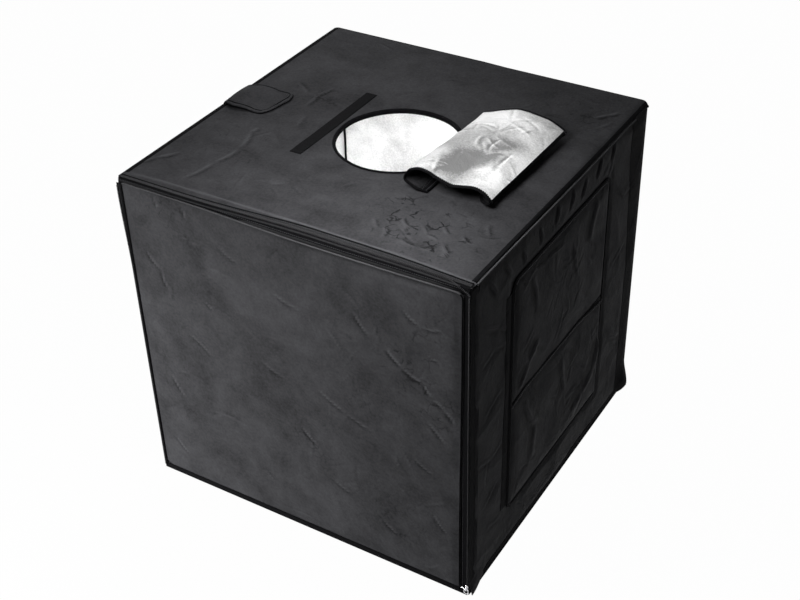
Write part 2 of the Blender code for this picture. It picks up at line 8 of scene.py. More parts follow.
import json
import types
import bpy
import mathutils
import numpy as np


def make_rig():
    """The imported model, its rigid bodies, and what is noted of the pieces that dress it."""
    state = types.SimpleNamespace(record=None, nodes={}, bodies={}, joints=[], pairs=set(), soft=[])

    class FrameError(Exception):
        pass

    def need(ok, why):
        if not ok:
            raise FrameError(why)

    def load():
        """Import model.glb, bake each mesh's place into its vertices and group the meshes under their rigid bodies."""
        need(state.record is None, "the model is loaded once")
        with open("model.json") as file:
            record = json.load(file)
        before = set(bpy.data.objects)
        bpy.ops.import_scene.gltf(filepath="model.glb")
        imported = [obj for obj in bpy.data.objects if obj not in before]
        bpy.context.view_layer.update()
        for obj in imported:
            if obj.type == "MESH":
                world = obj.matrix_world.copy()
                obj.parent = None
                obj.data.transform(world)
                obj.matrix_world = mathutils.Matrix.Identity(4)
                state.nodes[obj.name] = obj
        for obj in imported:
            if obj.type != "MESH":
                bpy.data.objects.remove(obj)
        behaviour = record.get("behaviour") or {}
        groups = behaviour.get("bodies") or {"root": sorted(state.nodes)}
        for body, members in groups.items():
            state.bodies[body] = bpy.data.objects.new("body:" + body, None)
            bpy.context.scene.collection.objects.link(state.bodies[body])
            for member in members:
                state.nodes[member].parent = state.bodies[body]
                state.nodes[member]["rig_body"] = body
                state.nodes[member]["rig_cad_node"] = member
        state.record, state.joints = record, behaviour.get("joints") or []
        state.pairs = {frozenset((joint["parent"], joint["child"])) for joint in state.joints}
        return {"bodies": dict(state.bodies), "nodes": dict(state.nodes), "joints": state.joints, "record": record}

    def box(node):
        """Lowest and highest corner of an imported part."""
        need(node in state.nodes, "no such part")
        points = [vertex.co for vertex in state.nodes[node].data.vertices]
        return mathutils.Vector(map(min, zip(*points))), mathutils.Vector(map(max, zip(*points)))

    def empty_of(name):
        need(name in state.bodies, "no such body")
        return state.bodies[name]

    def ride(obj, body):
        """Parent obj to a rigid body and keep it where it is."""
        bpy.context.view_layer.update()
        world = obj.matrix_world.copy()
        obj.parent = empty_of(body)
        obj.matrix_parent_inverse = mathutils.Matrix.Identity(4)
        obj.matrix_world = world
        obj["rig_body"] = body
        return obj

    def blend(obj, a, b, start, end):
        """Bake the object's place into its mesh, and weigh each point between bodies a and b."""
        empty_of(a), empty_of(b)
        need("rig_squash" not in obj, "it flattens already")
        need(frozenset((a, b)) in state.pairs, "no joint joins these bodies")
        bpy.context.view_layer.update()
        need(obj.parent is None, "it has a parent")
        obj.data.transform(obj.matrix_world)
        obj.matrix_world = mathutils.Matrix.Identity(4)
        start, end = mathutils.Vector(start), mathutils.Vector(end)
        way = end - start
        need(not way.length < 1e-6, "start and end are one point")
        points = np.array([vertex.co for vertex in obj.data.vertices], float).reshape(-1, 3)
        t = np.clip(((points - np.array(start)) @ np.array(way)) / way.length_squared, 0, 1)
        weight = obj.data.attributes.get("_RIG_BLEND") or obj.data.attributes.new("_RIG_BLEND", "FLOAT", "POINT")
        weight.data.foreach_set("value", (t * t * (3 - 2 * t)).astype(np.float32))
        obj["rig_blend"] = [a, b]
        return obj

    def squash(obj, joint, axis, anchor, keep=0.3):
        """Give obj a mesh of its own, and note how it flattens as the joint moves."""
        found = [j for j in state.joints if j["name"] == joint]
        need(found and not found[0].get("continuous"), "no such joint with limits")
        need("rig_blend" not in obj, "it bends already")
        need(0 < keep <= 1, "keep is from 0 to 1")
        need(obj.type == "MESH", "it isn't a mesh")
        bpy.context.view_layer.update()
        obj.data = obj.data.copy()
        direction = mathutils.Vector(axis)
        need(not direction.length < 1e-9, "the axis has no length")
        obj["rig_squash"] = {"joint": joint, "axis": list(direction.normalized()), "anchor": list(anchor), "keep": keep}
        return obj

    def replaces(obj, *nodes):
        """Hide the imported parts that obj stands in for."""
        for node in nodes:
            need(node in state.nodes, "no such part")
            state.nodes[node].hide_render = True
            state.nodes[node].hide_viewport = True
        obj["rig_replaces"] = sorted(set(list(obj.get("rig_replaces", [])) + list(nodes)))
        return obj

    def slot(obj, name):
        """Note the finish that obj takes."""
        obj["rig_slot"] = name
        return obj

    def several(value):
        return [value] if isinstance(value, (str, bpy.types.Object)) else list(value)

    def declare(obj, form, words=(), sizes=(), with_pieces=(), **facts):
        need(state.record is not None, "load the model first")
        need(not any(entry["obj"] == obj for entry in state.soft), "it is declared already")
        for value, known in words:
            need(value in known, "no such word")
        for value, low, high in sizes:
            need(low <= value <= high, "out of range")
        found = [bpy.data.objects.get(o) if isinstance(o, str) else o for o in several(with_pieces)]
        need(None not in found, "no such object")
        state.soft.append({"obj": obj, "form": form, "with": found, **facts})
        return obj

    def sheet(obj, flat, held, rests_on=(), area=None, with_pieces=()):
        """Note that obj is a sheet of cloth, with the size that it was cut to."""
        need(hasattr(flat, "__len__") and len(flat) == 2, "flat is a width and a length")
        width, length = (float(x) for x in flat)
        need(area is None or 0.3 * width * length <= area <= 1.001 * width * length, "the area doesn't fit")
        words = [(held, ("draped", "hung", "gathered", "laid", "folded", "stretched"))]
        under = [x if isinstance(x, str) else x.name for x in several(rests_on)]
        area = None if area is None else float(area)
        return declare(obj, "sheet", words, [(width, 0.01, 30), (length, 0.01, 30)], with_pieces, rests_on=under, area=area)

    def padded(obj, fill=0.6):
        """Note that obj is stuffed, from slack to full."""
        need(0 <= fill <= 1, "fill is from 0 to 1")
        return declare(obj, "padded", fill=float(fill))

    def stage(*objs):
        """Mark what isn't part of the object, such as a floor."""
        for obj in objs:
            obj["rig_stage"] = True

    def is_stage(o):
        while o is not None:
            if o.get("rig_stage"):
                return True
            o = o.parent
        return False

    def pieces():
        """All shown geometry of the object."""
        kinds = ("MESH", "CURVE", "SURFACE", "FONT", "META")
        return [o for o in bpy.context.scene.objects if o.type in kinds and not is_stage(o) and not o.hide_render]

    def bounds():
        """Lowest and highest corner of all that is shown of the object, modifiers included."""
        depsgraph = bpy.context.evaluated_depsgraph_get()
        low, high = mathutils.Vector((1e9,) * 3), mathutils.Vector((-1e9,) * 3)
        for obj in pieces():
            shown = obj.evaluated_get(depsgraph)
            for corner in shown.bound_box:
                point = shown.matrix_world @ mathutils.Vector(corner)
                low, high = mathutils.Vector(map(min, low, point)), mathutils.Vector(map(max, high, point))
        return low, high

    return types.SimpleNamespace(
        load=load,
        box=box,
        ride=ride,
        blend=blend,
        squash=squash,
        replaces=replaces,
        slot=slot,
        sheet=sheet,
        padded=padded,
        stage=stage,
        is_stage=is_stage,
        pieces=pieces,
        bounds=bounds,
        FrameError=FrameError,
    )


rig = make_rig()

bl_info = {
    "name": "Light tent cube looks",
    "version": (1, 0, 0),
    "blender": (4, 5, 0),
    "location": "3D View > Sidebar > Light Tent",
    "description": "Dresses the packed frame of a folding light tent in cloth, lining, zips and light bars",
    "category": "Add Mesh",
}

import json
import math

import bpy
import numpy as np
from mathutils import Matrix, Vector

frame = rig.load()
CAD_BOX = [list(corner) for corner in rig.bounds()]

MM = 0.001
X, Y, Z = np.eye(3)
SIDES = ((-1, "left"), (1, "right"))
SIZE_FILE = "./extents.json"


# Places that the frame gives, in metres.


def low(node):
    """The node's lowest corner."""
    return np.array(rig.box(node)[0])


def high(node):
    """The node's highest corner."""
    return np.array(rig.box(node)[1])


def box_of(node):
    """The node's lowest and highest corners."""
    return low(node), high(node)


HALF_WIDTH = high("right_lower_cover")[0]
WALL_FRONT = low("right_lower_cover")[1]
REAR = high("rear_cover")[1]
WALL_BOTTOM = low("right_lower_cover")[2]
WALL_TOP = high("right_upper_cover")[2]
FOLD_HEIGHT = (high("right_lower_cover")[2] + low("right_upper_cover")[2]) / 2
TOP_FACE = high("top_cover")[2]
DOOR_FACE = low("door_panel")[1]
HOLE_X = (low("hole_binding")[0] + high("hole_binding")[0]) / 2
HOLE_Y = (low("hole_binding")[1] + high("hole_binding")[1]) / 2
HOLE_RADIUS = 98.5 * MM  # of the hole in the cloth, under its binding


# Sizes and colours that a user would change.


class TentSizes(bpy.types.PropertyGroup):
    """Sizes of the cloth's grid, its slack and its trim."""

    cloth_step: bpy.props.FloatProperty(
        name="Cloth step",
        description="Distance between the grid lines of the outer cloth",
        default=3.4 * MM, min=1.5 * MM, subtype="DISTANCE", unit="LENGTH",
    )
    slack: bpy.props.FloatProperty(
        name="Slack",
        description="Height of the broad swells of the outer cloth",
        default=1.5 * MM, subtype="DISTANCE", unit="LENGTH",
    )
    piping_radius: bpy.props.FloatProperty(
        name="Piping radius",
        description="Radius of the corded piping along the cube's edges",
        default=1.7 * MM, subtype="DISTANCE", unit="LENGTH",
    )
    tooth_pitch: bpy.props.FloatProperty(
        name="Tooth pitch",
        description="Distance from one zip tooth to the next on the same tape",
        default=2.4 * MM, subtype="DISTANCE", unit="LENGTH",
    )
    stitch_pitch: bpy.props.FloatProperty(
        name="Stitch pitch",
        description="Distance from one stitch to the next",
        default=3.4 * MM, subtype="DISTANCE", unit="LENGTH",
    )


class TentColours(bpy.types.PropertyGroup):
    """Colours of the tent's materials."""

    cloth: bpy.props.FloatVectorProperty(
        name="Cloth", description="Outer nylon cloth", subtype="COLOR", size=3,
        default=(0.045, 0.045, 0.048),
    )
    lining: bpy.props.FloatVectorProperty(
        name="Lining", description="Metallic silver lining", subtype="COLOR", size=3,
        default=(0.81, 0.81, 0.81),
    )
    binding: bpy.props.FloatVectorProperty(
        name="Binding", description="Woven binding and piping", subtype="COLOR", size=3,
        default=(0.0040, 0.0040, 0.0044),
    )
    tape: bpy.props.FloatVectorProperty(
        name="Zip tape", description="Woven zip tape", subtype="COLOR", size=3,
        default=(0.0036, 0.0036, 0.0040),
    )
    pile: bpy.props.FloatVectorProperty(
        name="Hook and loop", description="Pile of the hook and loop strips", subtype="COLOR", size=3,
        default=(0.0080, 0.0080, 0.0085),
    )
    cord: bpy.props.FloatVectorProperty(
        name="Piping", description="Corded piping and turned edges", subtype="COLOR", size=3,
        default=(0.060, 0.060, 0.063),
    )
    edge: bpy.props.FloatVectorProperty(
        name="Edge tape", description="Tape and turned cloth at the front edge", subtype="COLOR", size=3,
        default=(0.020, 0.020, 0.021),
    )
    thread: bpy.props.FloatVectorProperty(
        name="Thread", description="Sewing thread", subtype="COLOR", size=3,
        default=(0.040, 0.040, 0.043),
    )


def sizes():
    """The scene's tent sizes."""
    return bpy.context.scene.tent_sizes


def colours():
    """The scene's tent colours."""
    return bpy.context.scene.tent_colours


# Shapes as whole arrays.


def ease(t):
    """A smooth step from 0 to 1: three t squared less two t cubed."""
    t = np.clip(t, 0, 1)
    return t * t * (3 - 2 * t)


def spaced(start, stop, step):
    """Even values from start to stop, about a step apart."""
    return np.linspace(start, stop, max(2, int(round(abs(stop - start) / step)) + 1))


def swells(u, v, cell, seed):
    """Value noise: random heights on the corners of a square net, eased from each corner to the next."""
    heights = np.random.default_rng(seed).uniform(-1, 1, (128, 128))
    x, y = u / cell + 40, v / cell + 40
    column, row = np.floor(x).astype(int), np.floor(y).astype(int)
    right, up = ease(x - column), ease(y - row)
    column, row = column % 127, row % 127
    near = heights[row, column] * (1 - right) + heights[row, column + 1] * right
    far = heights[row + 1, column] * (1 - right) + heights[row + 1, column + 1] * right
    return near * (1 - up) + far * up


def slack_cloth(u, v, seed):
    """Heights of slack cloth: broad, middle and small swells, and soft ridges where the middle ones cross nought."""
    broad = swells(u, v, 0.105, seed) + 0.45 * swells(u + 0.3 * v, v, 0.043, seed + 1)
    fine = 0.13 * swells(u, v, 0.016, seed + 2)
    ridge = 1 - np.abs(swells(u + 0.2 * v, v - 0.1 * u, 0.052, seed + 3))
    return sizes().slack * (1.1 + broad + fine + 0.55 * ridge**4)


def creases(u, v, marks):
    """Heights of sharp folds. Each mark is u0, v0, u1, v1, height, width and bow: a ridge along a line, high in the
    middle and gone at its ends, with a hollow beside it. Its profile is a bell, less a wider bell to one side."""
    total = np.zeros(u.shape)
    for u0, v0, u1, v1, height, width, bow in marks:
        length = math.hypot(u1 - u0, v1 - v0)
        along = ((u - u0) * (u1 - u0) + (v - v0) * (v1 - v0)) / length**2
        hump = np.clip(4 * along * (1 - along), 0, 1)
        side = ((u - u0) * (v1 - v0) - (v - v0) * (u1 - u0)) / length - bow * hump
        ridge = np.exp(-((side / width) ** 2))
        hollow = np.exp(-(((side - 1.9 * width) / (1.6 * width)) ** 2))
        total += height * hump**0.7 * (ridge - 0.6 * hollow)
    return total


def folds(path, height, width, bow=0.0):
    """Crease marks along a path of u, v points in millimetres."""
    points = np.array(path, float) * MM
    return [[*a, *b, height * MM, width * MM, bow * MM] for a, b in zip(points[:-1], points[1:])]


def named_folds(rows):
    """Crease marks of a table of paths, each with its height, its width and perhaps its bow."""
    return np.concatenate([folds(*row) for row in rows])


def stray_folds(seed, count, u_range, v_range, length, height, width):
    """Crease marks at random places, with random turns and lengths, from a fixed seed."""
    draw = np.random.default_rng(seed)
    u, v = draw.uniform(*u_range, count), draw.uniform(*v_range, count)
    turn, reach = draw.uniform(0, math.pi, count), draw.uniform(0.4, 1, count) * length / 2
    tall = height * draw.uniform(0.35, 1, count) * draw.choice([-0.6, 1], count)
    wide = width * draw.uniform(0.7, 1.3, count)
    bow = draw.uniform(-0.25, 0.25, count) * reach
    du, dv = np.cos(turn) * reach, np.sin(turn) * reach
    return np.stack([u - du, v - dv, u + du, v + dv, tall, wide, bow], -1)


def spots(u, v, places):
    """Round patches with soft edges, each u, v and radius in millimetres and a strength: bells added."""
    return sum(
        strength * np.exp(-((u - a * MM) ** 2 + (v - b * MM) ** 2) / (radius * MM) ** 2)
        for a, b, radius, strength in places
    )


def edge_fade(u, v, reach):
    """0 on the outline of a grid and 1 a reach inside it, eased."""
    inside = np.minimum(np.minimum(u - u.min(), u.max() - u), np.minimum(v - v.min(), v.max() - v))
    return ease(inside / reach)


def lay(u, v, h, origin, across, up):
    """Points of a flat face: the origin, plus u along across, v along up, and h along their cross product. h may be
    one height for them all."""
    outward = np.cross(across, up)
    return np.asarray(origin) + u[..., None] * across + v[..., None] * up + np.asarray(h)[..., None] * outward


def points_at(x, y, z):
    """Points from their x, y and z. Each is an array, or one number for them all."""
    return np.stack(np.broadcast_arrays(x, y, z), -1)


def unit(vectors):
    """The vectors at length one."""
    return vectors / np.linalg.norm(vectors, axis=-1, keepdims=True)


# From arrays to objects.


def grid_faces(rows, columns, around=False, first=0):
    """Quads of a grid of points. Seen from outside, a column step turned left is a row step."""
    index = first + np.arange(rows * columns).reshape(rows, columns)
    if around:
        index = np.hstack([index, index[:, :1]])
    return np.stack([index[:-1, :-1], index[:-1, 1:], index[1:, 1:], index[1:, :-1]], -1).reshape(-1, 4)


def make_piece(
    name, points, faces, finish, uv=None, fold=None, crush=None, body=None, slot=None, replaces=(), sharp=False
):
    """One object from points and faces. Its faces are turned outwards if their signed volume is below nought. fold and
    crush are kept as attributes: fold is above nought on a crease's ridge and below it in the hollow beside, and
    crush is higher where the cloth is crumpled more. The finishes paint light and shade by them: fold lightens as
    painted highlight and darkens as painted shade, and crush sets how much the crinkle lines are painted dark as shade."""
    mesh = bpy.data.meshes.new(name)
    mesh.from_pydata(np.asarray(points, float).reshape(-1, 3).tolist(), [], faces)
    mesh.update(calc_edges=True)
    if uv is not None:
        corners = np.empty(len(mesh.loops), int)
        mesh.loops.foreach_get("vertex_index", corners)
        layer = mesh.uv_layers.new(name="UVMap")
        layer.data.foreach_set("uv", np.asarray(uv, float).reshape(-1, 2)[corners].ravel())
    for key, values in (("fold", fold), ("crush", crush)):
        if values is not None:
            layer = mesh.attributes.new(key, "FLOAT", "POINT")
            layer.data.foreach_set("value", np.asarray(values, np.float32).ravel())
    mesh.calc_loop_triangles()
    triangles = np.empty(len(mesh.loop_triangles) * 3, int)
    mesh.loop_triangles.foreach_get("vertices", triangles)
    a, b, c = np.asarray(points, float).reshape(-1, 3)[triangles.reshape(-1, 3)].transpose(1, 0, 2)
    if np.einsum("ij,ij->i", a, np.cross(b, c)).sum() < 0:
        mesh.flip_normals()
    mesh.shade_flat() if sharp else mesh.shade_smooth()
    mesh.set_sharp_from_angle(angle=math.radians(55))
    piece = bpy.data.objects.new(name, mesh)
    bpy.context.scene.collection.objects.link(piece)
    mesh.materials.append(bpy.data.materials[finish])
    if slot:
        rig.slot(piece, slot)
    if replaces:
        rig.replaces(piece, *replaces)
    if body:
        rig.ride(piece, body)
    return piece


def outline_of(rows, columns):
    """Indices round a grid's outline, in the turn that its faces have."""
    index = np.arange(rows * columns).reshape(rows, columns)
    return np.concatenate([index[0, :-1], index[:-1, -1], index[-1, :0:-1], index[:0:-1, 0]])


def closed_sheet(name, face, back, u, v, finish, flat_back=False, fold=None, crush=None, **keys):
    """A closed cloth: the face grid, the back's own grid turned over, and quads between their outlines.
    With flat_back only the back's outline is kept, and rungs go across it from side to side."""
    rows, columns = face.shape[:2]
    rim = outline_of(rows, columns)
    following = np.roll(rim, -1)
    count = rows * columns
    uv = np.stack([u, v], -1).reshape(-1, 2)
    front = grid_faces(rows, columns).tolist()
    behind_count = len(rim) if flat_back else count
    for key, values in (("fold", fold), ("crush", crush)):
        if values is not None:
            keys[key] = np.concatenate([values.ravel(), np.zeros(behind_count)])
    if not flat_back:
        points = np.concatenate([face.reshape(-1, 3), back.reshape(-1, 3)])
        behind = (grid_faces(rows, columns, first=count)[:, ::-1]).tolist()
        sides = np.stack([following, rim, rim + count, following + count], -1).tolist()
        return make_piece(name, points, front + behind + sides, finish, uv=np.concatenate([uv, uv]), **keys)
    points = np.concatenate([face.reshape(-1, 3), back.reshape(-1, 3)[rim]])
    place = {int(old): count + new for new, old in enumerate(rim)}
    below = count + np.arange(len(rim))
    sides = np.stack([following, rim, below, np.roll(below, -1)], -1).tolist()
    left = [place[r * columns] for r in range(rows)]
    right = [place[r * columns + columns - 1] for r in range(rows)]
    first = [place[c] for c in range(columns)]
    last = [place[(rows - 1) * columns + c] for c in range(columns)]
    rungs = [[left[r], left[r + 1], right[r + 1], right[r]] for r in range(1, rows - 2)]
    ends = [[left[1], right[1], *reversed(first)], [left[-2], *last, right[-2]]]
    return make_piece(name, points, front + sides + rungs + ends, finish, uv=np.concatenate([uv, uv[rim]]), **keys)


def section(sides, width, height, power=1.0):
    """A closed section: cosine and sine of an even turn, each raised to a power below one for squarer corners."""
    turn = (np.arange(sides) + 0.5) * 2 * math.pi / sides
    wide = np.sign(np.cos(turn)) * np.abs(np.cos(turn)) ** power * width / 2
    tall = np.sign(np.sin(turn)) * np.abs(np.sin(turn)) ** power * height / 2
    return np.stack([wide, tall], -1)


def run_along(name, path, up, profile, finish, closed=False, swell=None, **keys):
    """A closed profile carried along a path. Its first axis is the path's direction crossed with up, its second is
    square to both. swell gives a factor for the profile's size at each point."""
    path = np.asarray(path, float)
    if closed:
        ahead = unit(np.roll(path, -1, 0) - np.roll(path, 1, 0))
    else:
        ahead = unit(np.gradient(path, axis=0))
    side = unit(np.cross(ahead, np.broadcast_to(up, path.shape)))
    over = np.cross(side, ahead)
    factor = np.ones(len(path)) if swell is None else swell
    points = (
        path[:, None]
        + factor[:, None, None] * (profile[None, :, :1] * side[:, None] + profile[None, :, 1:] * over[:, None])
    )
    rows, columns = points.shape[:2]
    step = np.linalg.norm(np.diff(path, axis=0, prepend=path[:1]), axis=1).cumsum()
    girth = np.linalg.norm(np.diff(profile, axis=0, prepend=profile[:1]), axis=1).cumsum()
    uv = np.stack(np.broadcast_arrays(girth[None], step[:, None]), -1)
    if closed:
        points, uv = np.concatenate([points, points[:1]]), np.concatenate([uv, uv[:1]])
        faces = grid_faces(rows + 1, columns, around=True)
        faces[faces >= rows * columns] -= rows * columns
        return make_piece(name, points[:-1], faces.tolist(), finish, uv=uv[:-1], **keys)
    faces = grid_faces(rows, columns, around=True).tolist()
    faces += [list(range(columns))[::-1], list(range((rows - 1) * columns, rows * columns))]
    return make_piece(name, points, faces, finish, uv=uv, **keys)


def binding(name, path, up, profile, **keys):
    """A run of black woven binding."""
    return run_along(name, path, up, profile, "bias_binding", slot="black_binding", **keys)


def repeat(name, shape, faces, places, along, across, over, finish, **keys):
    """The same small closed shape at many places: its three columns go along, across and over."""
    places = np.asarray(places, float)
    axes = np.stack([np.broadcast_to(a, places.shape) for a in (along, across, over)], 1)
    points = places[:, None] + np.einsum("kc,ncx->nkx", np.asarray(shape, float), axes)
    shift = (np.arange(len(places)) * len(shape))[:, None, None]
    faces = (np.array(faces)[None] + shift).reshape(-1, len(faces[0]))
    uv = np.broadcast_to(np.asarray(shape, float)[None, :, :2], (len(places), len(shape), 2))
    return make_piece(name, points, faces.tolist(), finish, uv=uv, **keys)


def lozenge(length, width, height, pinch=0.6):
    """A block with its upper face pinched in: eight points and six quads, turned outwards."""
    a, b, c, p = length / 2, width / 2, height / 2, pinch
    shape = [
        [-a, -b, -c], [a, -b, -c], [a, b, -c], [-a, b, -c],
        [-a * p, -b * p, c], [a * p, -b * p, c], [a * p, b * p, c], [-a * p, b * p, c],
    ]
    faces = [[0, 3, 2, 1], [4, 5, 6, 7], [0, 1, 5, 4], [1, 2, 6, 5], [2, 3, 7, 6], [3, 0, 4, 7]]
    return shape, faces


def along_path(path, pitch, values=None):
    """Places every pitch along a path, and the path's direction at each, or values given at its points."""
    path = np.asarray(path, float)
    reach = np.concatenate([[0], np.linalg.norm(np.diff(path, axis=0), axis=1).cumsum()])
    at = np.arange(pitch / 2, reach[-1], pitch)

    def read(array, where):
        """The array's values at these distances along the path."""
        return np.stack([np.interp(where, reach, array[:, k]) for k in range(3)], -1)

    if values is not None:
        return unit(read(np.broadcast_to(values, path.shape), at))
    return read(path, at), unit(read(path, at + pitch / 4) - read(path, at - pitch / 4))


def stitches(name, path, up, body=None):
    """A row of stitches along a path: each is a small pinched block, a little shorter than the pitch."""
    pitch = sizes().stitch_pitch
    places, ahead = along_path(path, pitch)
    up = along_path(path, pitch, np.asarray(up, float))
    side = unit(np.cross(up, ahead))
    shape, faces = lozenge(pitch * 0.74, 0.75 * MM, 0.55 * MM, 0.7)
    make = dict(body=body, slot="black_binding")
    return repeat(name, shape, faces, places + up * 0.25 * MM, ahead, side, up, "sewing_thread", **make)


def teeth(name, path, across, up, **keys):
    """Zip teeth along a path: a pinched block for each, its long side across the tape."""
    places, ahead = along_path(path, sizes().tooth_pitch)
    up = along_path(path, sizes().tooth_pitch, np.asarray(up, float))
    across = unit(np.cross(up, ahead)) if across is None else across
    shape, faces = lozenge(1.15 * MM, 2.6 * MM, 1.7 * MM, 0.62)
    return repeat(name, shape, faces, places, ahead, across, up, "coil_nylon", slot="zip_tape", **keys)


# Materials. All patterns read Object coordinates, or the piece's own UV map in metres.


def new_finish(name, colour, roughness, metallic=0.0, specular=0.5):
    """A material with its even values set on the shader's own sockets."""
    finish = bpy.data.materials.new(name)
    finish.use_nodes = True
    shader = finish.node_tree.nodes["Principled BSDF"]
    shader.inputs["Base Color"].default_value = (*colour, 1)
    shader.inputs["Roughness"].default_value = roughness
    shader.inputs["Metallic"].default_value = metallic
    shader.inputs["Specular IOR Level"].default_value = specular
    finish.diffuse_color = (*colour, 1)
    return finish


def add_node(finish, kind, inputs=(), **settings):
    """A node with its settings, and its inputs either linked or set."""
    tree = finish.node_tree
    node = tree.nodes.new(kind)
    for key, value in settings.items():
        setattr(node, key, value)
    for key, value in dict(inputs).items():
        if isinstance(value, bpy.types.NodeSocket):
            tree.links.new(value, node.inputs[key])
        else:
            node.inputs[key].default_value = value
    return node


def coordinates(finish, kind="Object"):
    """The piece's Object coordinates, or its UV map in metres."""
    return add_node(finish, "ShaderNodeTexCoord").outputs[kind]


def noise(finish, vector, scale, detail=3.0, roughness=0.55, kind="FBM", distortion=0.0):
    """A noise value."""
    node = add_node(
        finish, "ShaderNodeTexNoise",
        {"Vector": vector, "Scale": scale, "Detail": detail, "Roughness": roughness, "Distortion": distortion},
        noise_type=kind,
    )
    return node.outputs[0]


def between(finish, value, low_in, high_in, low_out, high_out):
    """The value carried from one range to another."""
    node = add_node(
        finish, "ShaderNodeMapRange",
        {"Value": value, "From Min": low_in, "From Max": high_in, "To Min": low_out, "To Max": high_out},
    )
    return node.outputs[0]


def maths(owner, operation, first, second):
    """Two values added or multiplied, or the higher one of them."""
    return add_node(owner, "ShaderNodeMath", {0: first, 1: second}, operation=operation).outputs[0]


def kept_value(finish, name):
    """The value that the mesh's points keep under this name."""
    return add_node(finish, "ShaderNodeAttribute", attribute_name=name).outputs["Fac"]


def toned(colour, factor):
    """The colour made lighter or darker, no part of it over 1."""
    return [min(1, part * factor) for part in colour]


def tinted(finish, value, dark, light):
    """A colour between dark and light, by the value."""
    node = add_node(finish, "ShaderNodeMix", {0: value, 6: (*dark, 1), 7: (*light, 1)}, data_type="RGBA")
    return node.outputs[2]


def link(finish, socket, name):
    """Links a socket to the shader's input of that name."""
    finish.node_tree.links.new(socket, finish.node_tree.nodes["Principled BSDF"].inputs[name])


def paint(finish, value, colour, dark, light):
    """The base colour: by the value, from the colour times dark to the colour times light."""
    link(finish, tinted(finish, value, toned(colour, dark), toned(colour, light)), "Base Color")


def weave(finish, vector, period, slant=0.0):
    """Height of a plain weave: two wave patterns, one each way, added."""
    scale = 0.314159 / period
    turned = add_node(finish, "ShaderNodeMapping", {"Vector": vector, "Rotation": (0, 0, slant)}).outputs[0]
    first = add_node(finish, "ShaderNodeTexWave", {"Vector": turned, "Scale": scale}, bands_direction="X").outputs[1]
    second = add_node(finish, "ShaderNodeTexWave", {"Vector": turned, "Scale": scale}, bands_direction="Y").outputs[1]
    return maths(finish, "ADD", first, second)


def bump(finish, layers):
    """Bumps laid over each other, each a height and its depth in metres."""
    normal = None
    for height, depth in layers:
        inputs = {"Height": height, "Distance": depth, "Strength": 1.0}
        if normal is not None:
            inputs["Normal"] = normal
        normal = add_node(finish, "ShaderNodeBump", inputs).outputs[0]
    link(finish, normal, "Normal")


def crinkle_lines(finish, place, cell, width):
    """Short thin lines: the borders of a net of bent cells, kept only where a cloudy noise is high."""
    shake = add_node(finish, "ShaderNodeTexNoise", {"Vector": place, "Scale": 55, "Detail": 4}).outputs["Color"]
    reach = (22 * MM, 22 * MM, 22 * MM)
    bent = add_node(finish, "ShaderNodeVectorMath", {0: shake, 1: reach, 2: place}, operation="MULTIPLY_ADD")
    inputs = {"Vector": bent.outputs[0], "Scale": 1 / cell}
    net = add_node(finish, "ShaderNodeTexVoronoi", inputs, feature="DISTANCE_TO_EDGE").outputs["Distance"]
    lines = between(finish, net, 0, width / cell, 1, 0)
    kept = between(finish, noise(finish, place, 44, 3), 0.50, 0.60, 0, 1)
    return maths(finish, "MULTIPLY", lines, kept)


def cloth_finish(name, colour):
    """Coated nylon: a fine weave, small crumples, cloudy and dusty patches, painted highlight on crease ridges and
    painted shade in their hollows, and short crinkle lines, sunk and painted dark as shade, most of them where the
    crush attribute is high."""
    finish = new_finish(name, colour, 0.6, specular=0.010)
    place, flat = coordinates(finish), coordinates(finish, "UV")
    clouds = between(finish, noise(finish, place, 9, 4, 0.62, distortion=0.6), 0.34, 0.66, -0.17, 0.17)
    patches = noise(finish, place, 27, 5, 0.65)
    dust = between(finish, noise(finish, place, 240, 3, 0.6), 0.3, 0.7, -0.12, 0.12)
    # Painted light: the fold attribute lightens crease ridges as painted highlight and darkens their hollows as painted
    # shade, and the crinkle lines, scaled by crush, are painted dark as shade.
    painted_shading = kept_value(finish, "fold")
    total = between(finish, patches, 0.30, 0.70, 0.36, 0.64)
    crush = between(finish, kept_value(finish, "crush"), 0, 1, 0.03, 1)
    lines = maths(finish, "MULTIPLY", crinkle_lines(finish, place, 19 * MM, 1.7 * MM), crush)
    for layer in (clouds, dust, between(finish, painted_shading, -1, 1, -0.95, 0.95), between(finish, lines, 0, 1, 0, -1.1)):
        total = maths(finish, "ADD", total, layer)
    paint(finish, total, colour, 0.34, 1.5)
    link(finish, between(finish, patches, 0.3, 0.7, 0.47, 0.62), "Roughness")
    crumples = noise(finish, place, 62, 5, 0.6, "RIDGED_MULTIFRACTAL", 0.3)
    ripples = noise(finish, place, 150, 4, 0.6)
    sunk = maths(finish, "MULTIPLY", lines, -1.0)
    threads = weave(finish, flat, 1.1 * MM)
    bump(finish, [(crumples, 0.35 * MM), (ripples, 0.55 * MM), (sunk, 0.9 * MM), (threads, 0.05 * MM)])
    return finish


